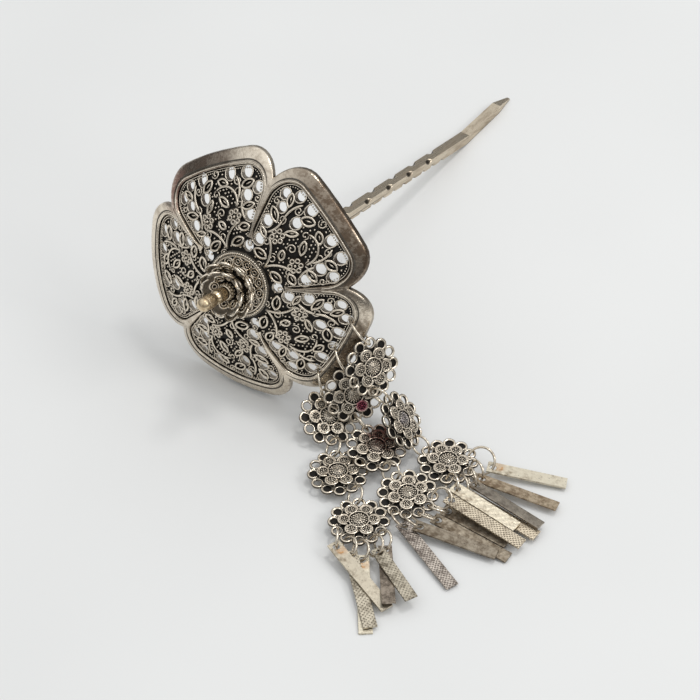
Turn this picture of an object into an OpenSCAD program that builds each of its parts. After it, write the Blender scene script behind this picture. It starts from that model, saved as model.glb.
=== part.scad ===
/*
 * Hair stick: an antiqued silver flower of pierced filigree on a crimped square pin,
 * with a brass finial and three strands of small pierced discs that end in flat strips.
 * It is modelled as it lies on a table, z = 0, propped on one petal, the bend of the pin
 * and the strands. Millimetres.
 */

/* [Flower] */
// Distance of a petal's tip from the middle of the flower
petal_reach = 29.8; // [29:0.1:31]
// Half of the width of a petal
petal_half = 15.2; // [14.6:0.1:15.8]
// Radius of a petal's round corner
petal_corner = 6.9; // [6:0.1:7.2]
// Radius of the ball that the front of the flower is domed on
dome_r = 53; // [50:1:60]
// Height of the rim over the sunk floor
rim_h = 0.8; // [0.7:0.05:0.85]
// Height of the leaves and stems over the floor
relief_h = 0.6; // [0.4:0.1:0.6]
// Thickness of the pierced floor
floor_t = 0.9; // [0.8:0.05:1]
// Width of the raised wire round a leaf and of a stem
wire_w = 0.5; // [0.4:0.05:0.6]

/* [Pin] */
// Thickness of the square pin
pin_w = 2.5; // [2.3:0.1:2.5]
// Depth of a crimp, along the diagonal of the pin
crimp_depth = 0.7; // [0.4:0.1:0.8]
// Distance between the first two crimps, next to the flower
crimp_pitch = 6.2; // [6:0.1:6.4]

/* [Finial] */
// Length of the finial
finial_len = 10; // [9:0.5:11]
// Diameter of the finial
finial_d = 3.4; // [3.2:0.1:3.6]

/* [Discs] */
// Distance of a loop's hole from the middle of the disc
loop_ring_r = 5.55; // [5.5:0.05:5.6]
// Outer radius of one loop
loop_r = 1.5; // [1.45:0.05:1.5]
// Radius of the hole in a loop
loop_hole_r = 1.0; // [0.95:0.05:1]
// Thickness of a disc's edge
disc_t = 0.5; // [0.4:0.1:0.5]

/* [Rings and strips] */
// Radius of a link ring, to the middle of its wire
link_r = 2.45; // [2.4:0.05:2.5]
// Radius of a ring that hangs a strand on the petal, to the middle of its wire
hanger_r = 3.8; // [3.75:0.05:3.85]
// Thickness of the rings' wire
ring_wire = 0.6; // [0.55:0.05:0.6]
// Width of a strip
strip_w = 3.1; // [2.9:0.1:3.1]
// Thickness of a strip
strip_t = 0.4; // [0.35:0.05:0.4]

/* [Hidden] */
// How far the middle of the whole is from the point that all places are measured from
middle_x = 1.45;
middle_y = 3.15;

// The flower's place: its middle, the rise of its axis over the table and its heading
flower_at = [-22.4, -5.4, 29.8];
flower_rise = 18.8;
flower_heading = 32.4;
first_petal = 52.2;

// The sunk field of a petal inside its rim
field_reach = petal_reach - 3.4;
field_half = petal_half - 2.3;
field_corner = 4.6;
field_meet = 12.2;
hub_r = 8.1;
hub_band = 1.1;
dome_top = 7.2;

// The pin's round end and the holes that it passes through
axle_r = 1.0;
bore_r = 1.1;
axle_end = 14.5;
shoulder_z = 5.25;
pin_bend = [29.8, 76.9, 1.3];
pin_tip = [42.0, 94.0, 1.3];
crimp_count = 17;
crimp_fall = 0.1;

// What stands on the axle, by its height over the flower's own middle
cup_wall = 0.6;
collar_z = 10.35;
finial_z = 12.55;

// Rings on the last petal: [strand, across, out, swing towards across, drop towards the back, first disc]
last_petal = 4;
hanger_hole_r = 1.3;
hanger_depth = 1.55;
HANGERS = [["a", -8.0, 24.6, 24, 17, 0], ["b", 0, 25.3, 36, 17, 3], ["c", 8.3, 24.6, 50, 12, 6]];

// Discs of the strands: [name, middle, heading of the tilt, tilt, spin, open loops]
chain_loops = [0, 2, 4, 6, 8, 10];
turned_loops = [0, 2, 4, 7, 9, 11];
end_loops = [0, 4, 5, 6, 7, 8];
DISCS = [
    ["a1", hung_middle(HANGERS[0], -55, 60, 165), -55, 60, 165, chain_loops],
    ["a2", [11.8, -31.2, 8.2], -15, 50, 165, chain_loops],
    ["a3", [22.5, -39.5, 3.2], 0, 0, 145, end_loops],
    ["b1", hung_middle(HANGERS[1], -78, 61, 180), -78, 61, 180, chain_loops],
    ["b2", [6, -36.2, 4.2], -50, 6, 160, chain_loops],
    ["b3", [13.1, -49.6, 3.1], -90, 5, 205, end_loops],
    ["c1", hung_middle(HANGERS[2], -56, 28.5, 156), -56, 28.5, 156, chain_loops],
    ["c2", [-2.8, -42.4, 2.5], 0, 0, 95, turned_loops],
    ["c3", [2, -57.7, 2.9], 0, 0, 90, end_loops]
];
// Rings from disc to disc: [name, disc, loop, next disc, loop, share of the first disc's axis or lean]
LINKS = [
    ["a1_a2", 0, 6, 1, 0, 0.6], ["a2_a3", 1, 6, 2, 0, 0.6],
    ["b1_b2", 3, 6, 4, 0, 0.8], ["b2_b3", 4, 6, 5, 0, 60],
    ["c1_c2", 6, 6, 7, 0, 50], ["c2_c3", 7, 7, 8, 0, 52]
];
// Strips: [name, disc, loop, the ring's radius, heading, drop and lean,
// the strip's own heading, drop and roll, and its length past its hole]
STRIPS = [
    ["a_a", 2, 8, 3.2, -32, 9, 45, -13, 4, 0, 17.2],
    ["a_b", 2, 7, link_r, -63, 9, 75, -24, 3, -10, 18.5],
    ["a_c", 2, 6, link_r, -70, -5, 85, -37, 5, -15, 18],
    ["a_d", 2, 5, link_r, -68, 9, 75, -37, 3, 0, 19.2],
    ["a_e", 2, 4, link_r, -60, -14, 65, -37, 6, 0, 16.5],
    ["b_a", 5, 8, link_r, -25, -10, 48, -37, 5, 0, 19.5],
    ["b_b", 5, 6, link_r, -21, 9, 135, -33, 4, 0, 18.5],
    ["b_c", 5, 5, link_r, -50, 2, 135, -23, 3, 0, 18.5],
    ["b_d", 5, 4, link_r, -60, 11, 135, -58, 3, 0, 19.5],
    ["b_e", 5, 7, link_r, -4, 18, 140, -35, 1, 10, 16],
    ["c_a", 8, 4, link_r, -93, -2, 85, -56, 4, 0, 20],
    ["c_b", 8, 5, link_r, -77, 9, 50, -78, 3, 0, 20],
    ["c_c", 8, 6, link_r, -81, 16, 45, -88, 3.5, 0, 20],
    ["c_d", 8, 8, link_r, -77, 14, 45, -88, -5, 0, 16.5],
    ["c_e", 8, 7, link_r, -68, -2, 52, -63, -1, 0, 15]
];
strip_hole_r = 0.85;
strip_end = 1.35;

$fn = 48;

// Open holes of a petal: [across, out, width, length]
HOLES = [
    [-4.0, 24.7, 2.6, 3.2], [-8.0, 24.1, 2.5, 2.5], [-10.6, 21.7, 2.5, 2.5],
    [-8.5, 19.6, 2.5, 2.5], [-3.6, 20.5, 2.6, 2.9], [4.2, 24.5, 2.6, 3.1],
    [8.7, 23.8, 2.9, 2.9], [11.2, 19.9, 2.7, 2.7], [8.0, 18.9, 2.9, 2.9],
    [-8.0, 15.2, 2.9, 2.9], [8.1, 14.6, 2.9, 2.9], [-5.7, 11.3, 2.9, 2.9]
];
// Leaves of a petal: [across, out, length, width, turn]
LEAVES = [
    [-8.7, 22.1, 3.6, 1.9, -45], [-2.4, 23.0, 4.0, 2.3, 35], [2.1, 23.0, 3.5, 2.0, -25],
    [8.8, 21.4, 3.9, 2.2, 8], [-8.2, 17.6, 4.3, 2.0, -15], [8.2, 16.7, 3.9, 1.9, 0],
    [-6.4, 13.3, 3.4, 1.5, -10], [6.2, 12.5, 3.4, 2.1, -10], [-2.8, 9.9, 4.1, 2.3, 20],
    [3.7, 9.7, 4.0, 2.3, 10], [0.4, 14.0, 2.9, 1.8, -50], [-2.3, 18.6, 3.8, 1.6, 50],
    [1.9, 18.9, 3.9, 1.9, -50]
];
// Rosettes of a petal: [across, out]
ROSETTES = [[-3.7, 15.6], [4.2, 15.2]];
rosette_r = 2.0;
// Stems of a petal, as arcs: [across, out, radius, from, to]
STEMS = [
    [2.0, 18.6, 3.6, -25, 125], [-6.0, 7.6, 6.4, 10, 80], [-10.5, 16.2, 5.1, -25, 25],
    [-1.4, 21.3, 5.3, 150, 215], [6.6, 7.6, 6.4, 100, 170], [11.6, 16.2, 5.1, 155, 205],
    [1.6, 21.3, 5.0, -35, 30]
];

// A point turned about each axis, as rotate() does it
function turn_x(p, a) = [p.x, p.y * cos(a) - p.z * sin(a), p.y * sin(a) + p.z * cos(a)];
function turn_y(p, a) = [p.x * cos(a) + p.z * sin(a), p.y, p.z * cos(a) - p.x * sin(a)];
function turn_z(p, a) = [p.x * cos(a) - p.y * sin(a), p.x * sin(a) + p.y * cos(a), p.z];

// Petals lie clockwise from +x, so a table's "across" runs clockwise too
function petal_turn(k) = first_petal + 72 * k - 90;

// Height of the domed front at a distance from the flower's axis
function dome_z(r) = dome_top - dome_r + sqrt(dome_r * dome_r - r * r);

// A point of the flower's own frame, where it is on the table
function on_table(p) = flower_at + turn_z(turn_x(p, 90 - flower_rise), -flower_heading);

// Where a hanging ring passes through the petal, and where it holds the first disc
function hanger_point(h) =
    let (middle = dome_z(norm([h[1], h[2]])) - hanger_depth)
    on_table(turn_z([h[1], h[2], middle], petal_turn(last_petal)));
function hanger_end(h) =
    let (e = heading_of(90 - h[3] + petal_turn(last_petal), h[4]))
    hanger_point(h) + 2 * hanger_r * (on_table(e) - flower_at);

// A point of a disc's own frame after its spin, its tilt and the heading of the tilt
function turned(p, heading, tilt, spin) = turn_z(turn_y(turn_z(p, spin), tilt), heading);
function hung_middle(h, heading, tilt, spin) =
    hanger_end(h) - turned([loop_ring_r, 0, 0], heading, tilt, spin);
function disc_axis(d) = turned([0, 0, 1], DISCS[d][2], DISCS[d][3], DISCS[d][4]);
function loop_point(d, k) =
    let (p = loop_ring_r * [cos(30 * k), sin(30 * k), 0])
    DISCS[d][1] + turned(p, DISCS[d][2], DISCS[d][3], DISCS[d][4]);

// Directions square to e: beside it and level where lean is 0, over it where lean is 90
function unit(v) = v / norm(v);
function beside(e) = unit(cross([0, 0, 1], e));
function leaning(e, lean) = cos(lean) * beside(e) + sin(lean) * cross(e, beside(e));
function heading_of(heading, drop) = [cos(heading) * cos(drop), sin(heading) * cos(drop), -sin(drop)];

// A strip's hole is one ring's width from its loop
function strip_hole(s) = loop_point(s[1], s[2]) + 2 * s[3] * heading_of(s[4], s[5]);

// The distance of a crimp from the flower's back: the crimps draw closer towards the bend
function crimp_at(i) = 3 + i * crimp_pitch - crimp_fall * i * (i - 1) / 2;

// The children's x axis along e and their y axis towards a direction, as far as it is square to e
module along(e, towards, at) {
    y = unit(towards - (towards * e) * e);
    z = cross(e, y);
    laid()
        multmatrix([[e.x, y.x, z.x, at.x], [e.y, y.y, z.y, at.y], [e.z, y.z, z.z, at.z]])
            children();
}

// The origin is under the middle of the whole
module laid() {
    translate([-middle_x, -middle_y, 0])
        children();
}

module on_flower() {
    laid()
        translate(flower_at)
            rotate([90 - flower_rise, 0, -flower_heading])
                children();
}

// Rounds the outward corners of a shape and leaves its notches sharp
module rounded_2d(r) {
    offset(r = r, $fn = 32)
        offset(delta = -r)
            children();
}

// One petal's shape: straight sides, round corners and a flat arc at its tip
module petal_2d(reach, half, corner, foot) {
    tip_r = 2 * reach;
    rounded_2d(corner)
        intersection() {
            translate([0, reach - tip_r])
                circle(tip_r, $fn = 90);
            polygon([foot, [half, (half + 1.2) / tan(36)], [half, reach], [-half, reach],
                [-half, (half + 1.2) / tan(36)], [-foot.x, foot.y]]);
        }
}

module outline_2d() {
    for (k = [0:4])
        rotate(petal_turn(k))
            petal_2d(petal_reach, petal_half, petal_corner, [petal_half, 0]);
}

// The sunk field, where all five petals' fields run together in the middle
module field_2d(grow) {
    offset(delta = grow) {
        for (k = [0:4])
            rotate(petal_turn(k))
                petal_2d(field_reach, field_half, field_corner, field_meet * [sin(36), cos(36)]);
        circle(field_meet);
    }
}

module slot_2d(w, len) {
    for (side = [-1, 1])
        translate([0, side * (len - w) / 2])
            circle(w / 2);
    if (len > w)
        square([w, len - w], center = true);
}

module holes_2d() {
    for (k = [0:4])
        rotate(petal_turn(k)) {
            for (h = HOLES)
                translate([h[0], h[1]])
                    slot_2d(h[2], h[3]);
            rotate(36)
                translate([0, 9.9])
                    circle(1.3);
        }
    rotate(petal_turn(last_petal))
        for (h = HANGERS)
            translate([h[1], h[2]])
                circle(hanger_hole_r);
}

// Almond: the part that two equal circles share
module almond_2d(len, w) {
    r = (len * len + w * w) / (4 * w);
    intersection() {
        translate([0, r - w / 2])
            circle(r);
        translate([0, w / 2 - r])
            circle(r);
    }
}

module leaf_2d(len, w) {
    difference() {
        almond_2d(len, w);
        almond_2d(len - 2.4 * wire_w, w - 1.5 * wire_w);
    }
}

module rosette_2d() {
    difference() {
        for (i = [0:5])
            rotate(60 * i)
                translate([rosette_r - 0.75, 0])
                    circle(0.75);
        circle(rosette_r - 0.85);
    }
    circle(0.45);
}

// Arc of a ring, cut out by a wedge
module stem_2d(r, from, to) {
    mid = (from + to) / 2;
    span = to - from;
    intersection() {
        difference() {
            circle(r + wire_w / 2);
            circle(r - wire_w / 2);
        }
        rotate(mid)
            polygon([[0, 0], 2 * r * [cos(span / 2), -sin(span / 2)], [3 * r, 0],
                2 * r * [cos(span / 2), sin(span / 2)]]);
    }
}

module relief_2d() {
    for (k = [0:4])
        rotate(petal_turn(k)) {
            for (l = LEAVES)
                translate([l[0], l[1]])
                    rotate(l[4])
                        leaf_2d(l[2], l[3]);
            for (s = ROSETTES)
                translate(s)
                    rosette_2d();
            for (s = STEMS)
                translate([s[0], s[1]])
                    stem_2d(s[2], s[3], s[4]);
        }
}

// The layer of the dome between two depths under its highest surface, over a 2D shape
module dome_layer(deep, high) {
    difference() {
        intersection() {
            dome_ball(dome_r - high);
            translate([0, 0, -12])
                linear_extrude(30)
                    children();
        }
        dome_ball(dome_r - deep);
    }
}

// The ball's poles are turned away from the part of it that is used
module dome_ball(r) {
    translate([0, 0, dome_top - dome_r])
        rotate([90, 0, 0])
            sphere(r, $fn = 128);
}

// Floor, rim, leaves and the hub's milled ring, as one casting
module flower() {
    color("#8d867b") on_flower() {
        dome_layer(rim_h + floor_t, rim_h)
            difference() {
                field_2d(0.5);
                holes_2d();
                circle(bore_r);
            }
        dome_layer(rim_h + 0.25, 0)
            difference() {
                outline_2d();
                field_2d(0);
            }
        dome_layer(rim_h + 0.4, rim_h - relief_h)
            difference() {
                relief_2d();
                holes_2d();
            }
        dome_layer(rim_h + 0.4, 0.2)
            difference() {
                circle(hub_r);
                circle(hub_r - hub_band);
            }
    }
}

// A bowl that opens to the front, with a scalloped edge, on a round foot
module cup(foot_z, floor_z, ball_r, edge_r, loops) {
    scallop_r = 1.15 * edge_r * sin(180 / loops);
    difference() {
        union() {
            intersection() {
                difference() {
                    translate([0, 0, floor_z + ball_r])
                        sphere(ball_r);
                    translate([0, 0, floor_z + ball_r])
                        sphere(ball_r - cup_wall);
                }
                translate([0, 0, floor_z - 1])
                    linear_extrude(ball_r) {
                        circle(edge_r);
                        for (i = [0:loops - 1])
                            rotate(360 * i / loops)
                                translate([edge_r - 0.1, 0])
                                    circle(scallop_r);
                    }
            }
            translate([0, 0, foot_z])
                cylinder(r = 2.3, h = floor_z + cup_wall - foot_z);
        }
        translate([0, 0, foot_z - 1])
            cylinder(r = bore_r, h = 4);
    }
}

module lower_cup() {
    color("#8f8878") on_flower()
        cup(6.5, 7.2, 8, 5.2, 10);
}

module upper_cup() {
    color("#9a9280") on_flower()
        cup(8.3, 9.4, 5.5, 3.8, 8);
}

module collar() {
    color("#c9b88a") on_flower()
        translate([0, 0, collar_z])
            difference() {
                union() {
                    cylinder(r = 1.5, h = 2.1);
                    for (z = [0.5, 1.5])
                        translate([0, 0, z - 0.35])
                            cylinder(r = 1.9, h = 0.7);
                }
                translate([0, 0, -1])
                    cylinder(r = bore_r, h = 5);
            }
}

// Two barrels and a domed end
module finial_2d() {
    r = finial_d / 2;
    barrel = 0.43 * finial_len;
    for (i = [0, 1])
        intersection() {
            translate([r - 3 * r, (i + 0.5) * barrel])
                circle(3 * r);
            translate([0, i * barrel + 0.1])
                square([2 * r, barrel - 0.2]);
        }
    translate([0, 0.5])
        square([r - 0.5, 2 * barrel]);
    intersection() {
        translate([0, finial_len - r])
            circle(r);
        translate([0, 2 * barrel - 0.3])
            square([2 * r, 2 * r]);
    }
}

module finial() {
    color("#b58d4c") on_flower()
        translate([0, 0, finial_z])
            difference() {
                rotate_extrude()
                    finial_2d();
                translate([0, 0, -1])
                    cylinder(r = bore_r, h = axle_end - finial_z + 1.1);
            }
}

// A notch across one corner of the square shaft
module notch(along_pin, corner, depth, notch_r) {
    corner_r = pin_w / sqrt(2);
    translate([along_pin, 0, 0])
        rotate([corner, 0, 0])
            translate([0, 0, corner_r - depth + notch_r])
                rotate([90, 0, 0])
                    cylinder(r = notch_r, h = 6, center = true);
}

// The shaft's upper corners are crimped in turn and its lower corners together
module shaft(len) {
    difference() {
        translate([0, -pin_w / 2, -pin_w / 2])
            cube([len, pin_w, pin_w]);
        for (i = [0:crimp_count - 1]) {
            notch(crimp_at(i), i % 2 == 0 ? -45 : 45, crimp_depth, 2.2);
            for (corner = [135, 225])
                notch(crimp_at(i + 0.5), corner, 0.7 * crimp_depth, 1.2);
        }
    }
}

// The smooth end lies flat and narrows to a blunt point
module point(len) {
    half = pin_w / 2;
    intersection() {
        translate([0, 0, -half])
            linear_extrude(pin_w)
                polygon([[-0.4, -half], [len - 6, 0.1 - half], [len, -0.4],
                    [len, 0.4], [len - 6, half - 0.1], [-0.4, half]]);
        rotate([90, 0, 0])
            translate([0, 0, -half])
                linear_extrude(pin_w)
                    polygon([[-0.4, -half], [len, -half], [len, 0.4 - half],
                        [len - 6, half - 0.2], [-0.4, half]]);
    }
}

module pin() {
    start = on_table([0, 0, shoulder_z]);
    shaft_run = pin_bend - start;
    point_run = pin_tip - pin_bend;
    color("#a59d8c") {
        on_flower()
            translate([0, 0, shoulder_z - 1.5])
                cylinder(r = axle_r, h = axle_end - shoulder_z + 1.5);
        laid() {
            translate(start)
                rotate([0, asin(-shaft_run.z / norm(shaft_run)), atan2(shaft_run.y, shaft_run.x)])
                    shaft(norm(shaft_run));
            translate(pin_bend)
                rotate(atan2(point_run.y, point_run.x))
                    point(norm(point_run));
        }
    }
}

// Twelve loops round the edge, some of them open, the others sunk
module disc_edge(opened) {
    difference() {
        translate([0, 0, -disc_t / 2])
            linear_extrude(disc_t)
                difference() {
                    union() {
                        circle(5.2);
                        for (k = [0:11])
                            rotate(30 * k)
                                translate([loop_ring_r, 0])
                                    circle(loop_r);
                    }
                    for (k = opened)
                        rotate(30 * k)
                            translate([loop_ring_r, 0])
                                circle(loop_hole_r);
                }
        for (k = [0:11])
            if (len(search(k, opened)) == 0)
                rotate(30 * k)
                    translate([loop_ring_r, 0, 0])
                        cylinder(r = loop_hole_r, h = disc_t);
    }
}

// The small flower on a disc: six round petals with a bead in each, and a dome
module disc_flower() {
    for (i = [0:5])
        rotate(30 + 60 * i)
            translate([3.25, 0, 0]) {
                difference() {
                    cylinder(r = 1.25, h = 1.1);
                    translate([0, 0, 0.7])
                        cylinder(r = 0.85, h = 1);
                }
                translate([0, 0, 0.7])
                    rotate([90, 0, 0])
                        sphere(0.4);
            }
    intersection() {
        translate([0, 0, -1])
            rotate([90, 0, 0])
                sphere(2.4);
        cylinder(r = 2.3, h = 3);
    }
}

module disc(d) {
    color("#98917f")
        laid()
            translate(d[1])
                rotate(d[2])
                    rotate([0, d[3], 0])
                        rotate(d[4]) {
                            disc_edge(d[5]);
                            disc_flower();
                        }
}

module ring(r, wire) {
    rotate_extrude()
        translate([r, 0])
            circle(wire / 2);
}

// The ring's plane follows a share of the axes of the two holes that it passes through, or it leans
module link(l) {
    from = loop_point(l[1], l[2]);
    to = loop_point(l[3], l[4]);
    e = unit(to - from);
    shared = l[5] * disc_axis(l[1]) + (1 - l[5]) * disc_axis(l[3]);
    towards = l[5] < 1 ? shared : leaning(e, l[5]);
    color("#b3a98f")
        along(e, towards, (from + to) / 2)
            ring(link_r, ring_wire);
}

module hanger(h) {
    from = hanger_point(h);
    to = hanger_end(h);
    flower_axis = on_table([0, 0, 1]) - flower_at;
    color("#b3a98f")
        along(unit(to - from), flower_axis + disc_axis(h[5]), (from + to) / 2)
            ring(hanger_r, ring_wire);
}

module strip(s) {
    e = heading_of(s[7], s[8]);
    color("#9c9484")
        along(e, leaning(e, s[9]), strip_hole(s))
            translate([0, 0, -strip_t / 2])
                linear_extrude(strip_t)
                    difference() {
                        translate([-strip_end, -strip_w / 2])
                            square([s[10] + strip_end, strip_w]);
                        circle(strip_hole_r);
                    }
}

module strip_ring(s) {
    e = heading_of(s[4], s[5]);
    along(e, leaning(e, s[6]), loop_point(s[1], s[2]) + s[3] * e)
        ring(s[3], ring_wire);
}

module strip_rings(strand) {
    color("#b3a98f")
        for (s = STRIPS)
            if (s[0][0] == strand)
                strip_ring(s);
}

flower();
lower_cup();
upper_cup();
collar();
finial();
pin();
for (d = DISCS)
    disc(d);
for (l = LINKS)
    link(l);
for (h = HANGERS)
    hanger(h);
for (s = STRIPS)
    strip(s);
strip_rings("a");  // strip_rings_a
strip_rings("b");  // strip_rings_b
strip_rings("c");  // strip_rings_c
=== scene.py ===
"""Hair stick: looks of the flower, its finial, the strands of discs, their rings and strips, and the stage.

Each piece is worked out in millimetres in the frame that the part's source uses, and is put into Blender's
metres with the whole's middle at the origin.
"""

import math
from collections import namedtuple

import bpy
import numpy as np
from mathutils import Matrix


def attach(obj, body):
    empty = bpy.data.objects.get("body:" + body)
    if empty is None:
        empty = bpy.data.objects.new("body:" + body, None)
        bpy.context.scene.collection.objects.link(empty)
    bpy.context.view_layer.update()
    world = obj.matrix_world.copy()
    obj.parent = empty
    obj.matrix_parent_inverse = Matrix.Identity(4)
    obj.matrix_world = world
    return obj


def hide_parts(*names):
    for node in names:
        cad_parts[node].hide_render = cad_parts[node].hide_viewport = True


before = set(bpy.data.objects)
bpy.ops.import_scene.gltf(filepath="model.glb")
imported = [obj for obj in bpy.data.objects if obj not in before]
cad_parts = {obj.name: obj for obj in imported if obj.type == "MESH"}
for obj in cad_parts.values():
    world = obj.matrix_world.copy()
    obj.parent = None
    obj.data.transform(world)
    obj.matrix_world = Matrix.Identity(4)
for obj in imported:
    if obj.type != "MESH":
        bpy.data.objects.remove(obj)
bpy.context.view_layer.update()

bl_info = {
    "name": "Hair stick",
    "version": (1, 0, 0),
    "blender": (4, 5, 0),
    "location": "View3D > Sidebar > Hair stick",
    "description": "Filigree wires, granules, rings, strips and metal finishes of an antiqued hair stick",
    "category": "Object",
}

MM = 0.001
# Middle of the whole on the table, as in the part's source
MIDDLE = np.array([1.45, 3.15, 0.0])

# Camera of the photograph: its height angle in degrees, and its distance, lens and sensor in millimetres
CAMERA_ELEVATION = 45
CAMERA_DISTANCE = 662
CAMERA_LENS = 141.3
SENSOR = 36

# The flower's own sizes, as in the part's source
PETAL_REACH = 29.8
PETAL_HALF = 15.2
PETAL_CORNER = 6.9
FIELD_REACH = PETAL_REACH - 3.4
FIELD_HALF = PETAL_HALF - 2.3
FIELD_CORNER = 4.6
FIELD_MEET = 12.2
FIELD_BEND = 1.2
DOME_R = 53
DOME_TOP = 7.2
RIM_H = 0.8
FIRST_PETAL = 52.2
LAST_PETAL = 4
HUB_R = 8.1
HUB_BAND = 1.1
# Angle from a petal's middle to the ray between two petals, and the unit vector along that ray
RAY = 36
RAY_WAY = np.array([math.sin(math.radians(RAY)), math.cos(math.radians(RAY))])
# Points that an outline has along a ray, a stem and a curl
RAY_POINTS = 16
STEM_POINTS = 13
CURL_POINTS = 16

# The rim's satin band: least rise over the casting, stand-off from its walls, depth of its two sides' rows,
# and the shares of its width that its outer and inner edges take to round
RIM_LIFT = 0.03
RIM_MARGIN = 0.035
RIM_SKIRT = (0.2, 0.9)
RIM_OUTER_ROUND = 0.55
RIM_INNER_ROUND = 0.3
# Lines along the rim's inner edge: how far outside the field's edge, how deep, and their radius
Line = namedtuple("Line", "outside depth wire")
RIM_GROOVE = Line(0.95, -0.3, 0.2)
RIM_WIRE = Line(0.45, -0.26, 0.2)

# The filigree's wires: depths of relief and floor under the front, radii, and how far a leaf's wire lies
# inside its outline, along it and across it
RELIEF_DEPTH = RIM_H - 0.44
FLOOR_DEPTH = RIM_H - 0.2
HOLE_WIRE = 0.19
HOLE_MARGIN = 0.16
LEAF_INSET = (0.6, 0.38)
VEIN_REACH = 0.22
VEIN_WIRE = (0.06, 0.22, 0.06)
ROSETTE_R = 1.25
ROSETTE_LOOP_R = 0.5
ROSETTE_WIRE = 0.22
BORDER_INSET = 0.95
BORDER_STEP = 0.6
# Seeds: their pitch, and the gaps that they keep from the field's edge, the hub and each ornament
SEED_PITCH = 0.95
SEED_EDGE_GAP = 1.5
SEED_RAY_GAP = 0.9
SEED_HUB_GAP = 0.6
SEED_GAP = 0.24

# Rings of loops on the hub's floor: distance from the axis, count and radius
Ring = namedtuple("Ring", "out count r")
HUB_RINGS = [Ring(5.6, 14, 1.1), Ring(3.5, 9, 1.0)]

# The cups: a ball's middle and radius, and on it the scalloped edge's lobes or a row of loops
Edge = namedtuple("Edge", "centre_z ball_r lobe_at lobes lobe_r wire")
CUP_EDGES = [Edge(15.2, 7.7, 5.1, 10, 1.85, 0.38), Edge(14.9, 5.4, 3.7, 8, 1.6, 0.36)]
Row = namedtuple("Row", "centre_z ball_r ring_r loops loop_r wire")
# The bowls' inner faces, their outer faces, and a row of small loops low on the larger bowl
CUP_ROWS = [
    Row(15.2, 7.34, 4.9, 10, 1.35, 0.34), Row(14.9, 4.84, 3.4, 8, 1.1, 0.34),
    Row(15.2, 8.06, 4.9, 10, 1.35, 0.34), Row(14.9, 5.56, 3.4, 8, 1.1, 0.34),
    Row(15.2, 8.05, 3.0, 12, 0.75, 0.28),
]

# The collar's two rows of granules and two rings, and the finial's barrels and domed end
COLLAR_Z = 10.35
COLLAR_GRANULES = 14
COLLAR_R = 1.75
FINIAL_Z = 12.55
BARREL = 4.3
BARREL_R = 1.72
DOMED_END_Z = 8.35

# The pin's square shaft, as in the part's source
PIN_W = 2.5
SHOULDER_Z = 5.25
PIN_BEND = (29.8, 76.9, 1.3)

# Rings, discs and strips, as in the part's source
HANGER_R = 3.8
HANGER_DEPTH = 1.55
LINK_R = 2.45
WIRE_R = 0.3
LOOP_RING_R = 5.55
STRIP_W = 3.1
STRIP_T = 0.4

# A disc's wires: the outer arc of a loop or petal, as its circle, half angle, points, height and wire
Rim = namedtuple("Rim", "r half_angle count z wire")
LOOP_RIM = Rim(1.26, 118, 15, 0.16, 0.3)
PETAL_RIM = Rim(1.42, 124, 17, 0.85, 0.27)
PETAL_RING_R = 3.25
PETAL_Z = 1.1
# Granules in circles, as radius of the circle, count, granule's radius and rise over what they lie on
Granules = namedtuple("Granules", "r count size rise", defaults=(0.0,))
PETAL_GRANULES = [Granules(1.05, 10, 0.21, -0.02), Granules(0.55, 7, 0.18, -0.12)]
# The dome is a ball's cap, and its granules lie on a ball a little larger
DOME_BALL_Z = -1.0
DOME_BALL_R = 2.46
DOME_GRANULES = [
    Granules(2.1, 20, 0.24), Granules(1.7, 17, 0.23), Granules(1.3, 14, 0.22), Granules(0.9, 10, 0.21),
    Granules(0.48, 6, 0.2),
]

# A hanger passes through the last petal at a place on its plan, and leaves it turned by a swing from the
# petal's own way out and dropped below the flower's plane
Hanger = namedtuple("Hanger", "strand across out swing drop")
HANGERS = [Hanger("a", -8.0, 24.6, 24, 17), Hanger("b", 0, 25.3, 36, 17), Hanger("c", 8.3, 24.6, 50, 12)]

# A disc's middle, the heading that it tilts towards, and its spin; with no middle it hangs on its hanger
Disc = namedtuple("Disc", "name middle heading tilt spin")
DISCS = [
    Disc("a1", None, -55, 60, 165),
    Disc("a2", (11.8, -31.2, 8.2), -15, 50, 165),
    Disc("a3", (22.5, -39.5, 3.2), 0, 0, 145),
    Disc("b1", None, -78, 61, 180),
    Disc("b2", (6, -36.2, 4.2), -50, 6, 160),
    Disc("b3", (13.1, -49.6, 3.1), -90, 5, 205),
    Disc("c1", None, -56, 28.5, 156),
    Disc("c2", (-2.8, -42.4, 2.5), 0, 0, 95),
    Disc("c3", (2, -57.7, 2.9), 0, 0, 90),
]

# A link's plane follows a share of its discs' axes, or it leans by an angle
Link = namedtuple("Link", "name disc loop next_disc next_loop share")
LINKS = [
    Link("a1_a2", 0, 6, 1, 0, 0.6), Link("a2_a3", 1, 6, 2, 0, 0.6),
    Link("b1_b2", 3, 6, 4, 0, 0.8), Link("b2_b3", 4, 6, 5, 0, 60),
    Link("c1_c2", 6, 6, 7, 0, 50), Link("c2_c3", 7, 7, 8, 0, 52),
]

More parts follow.
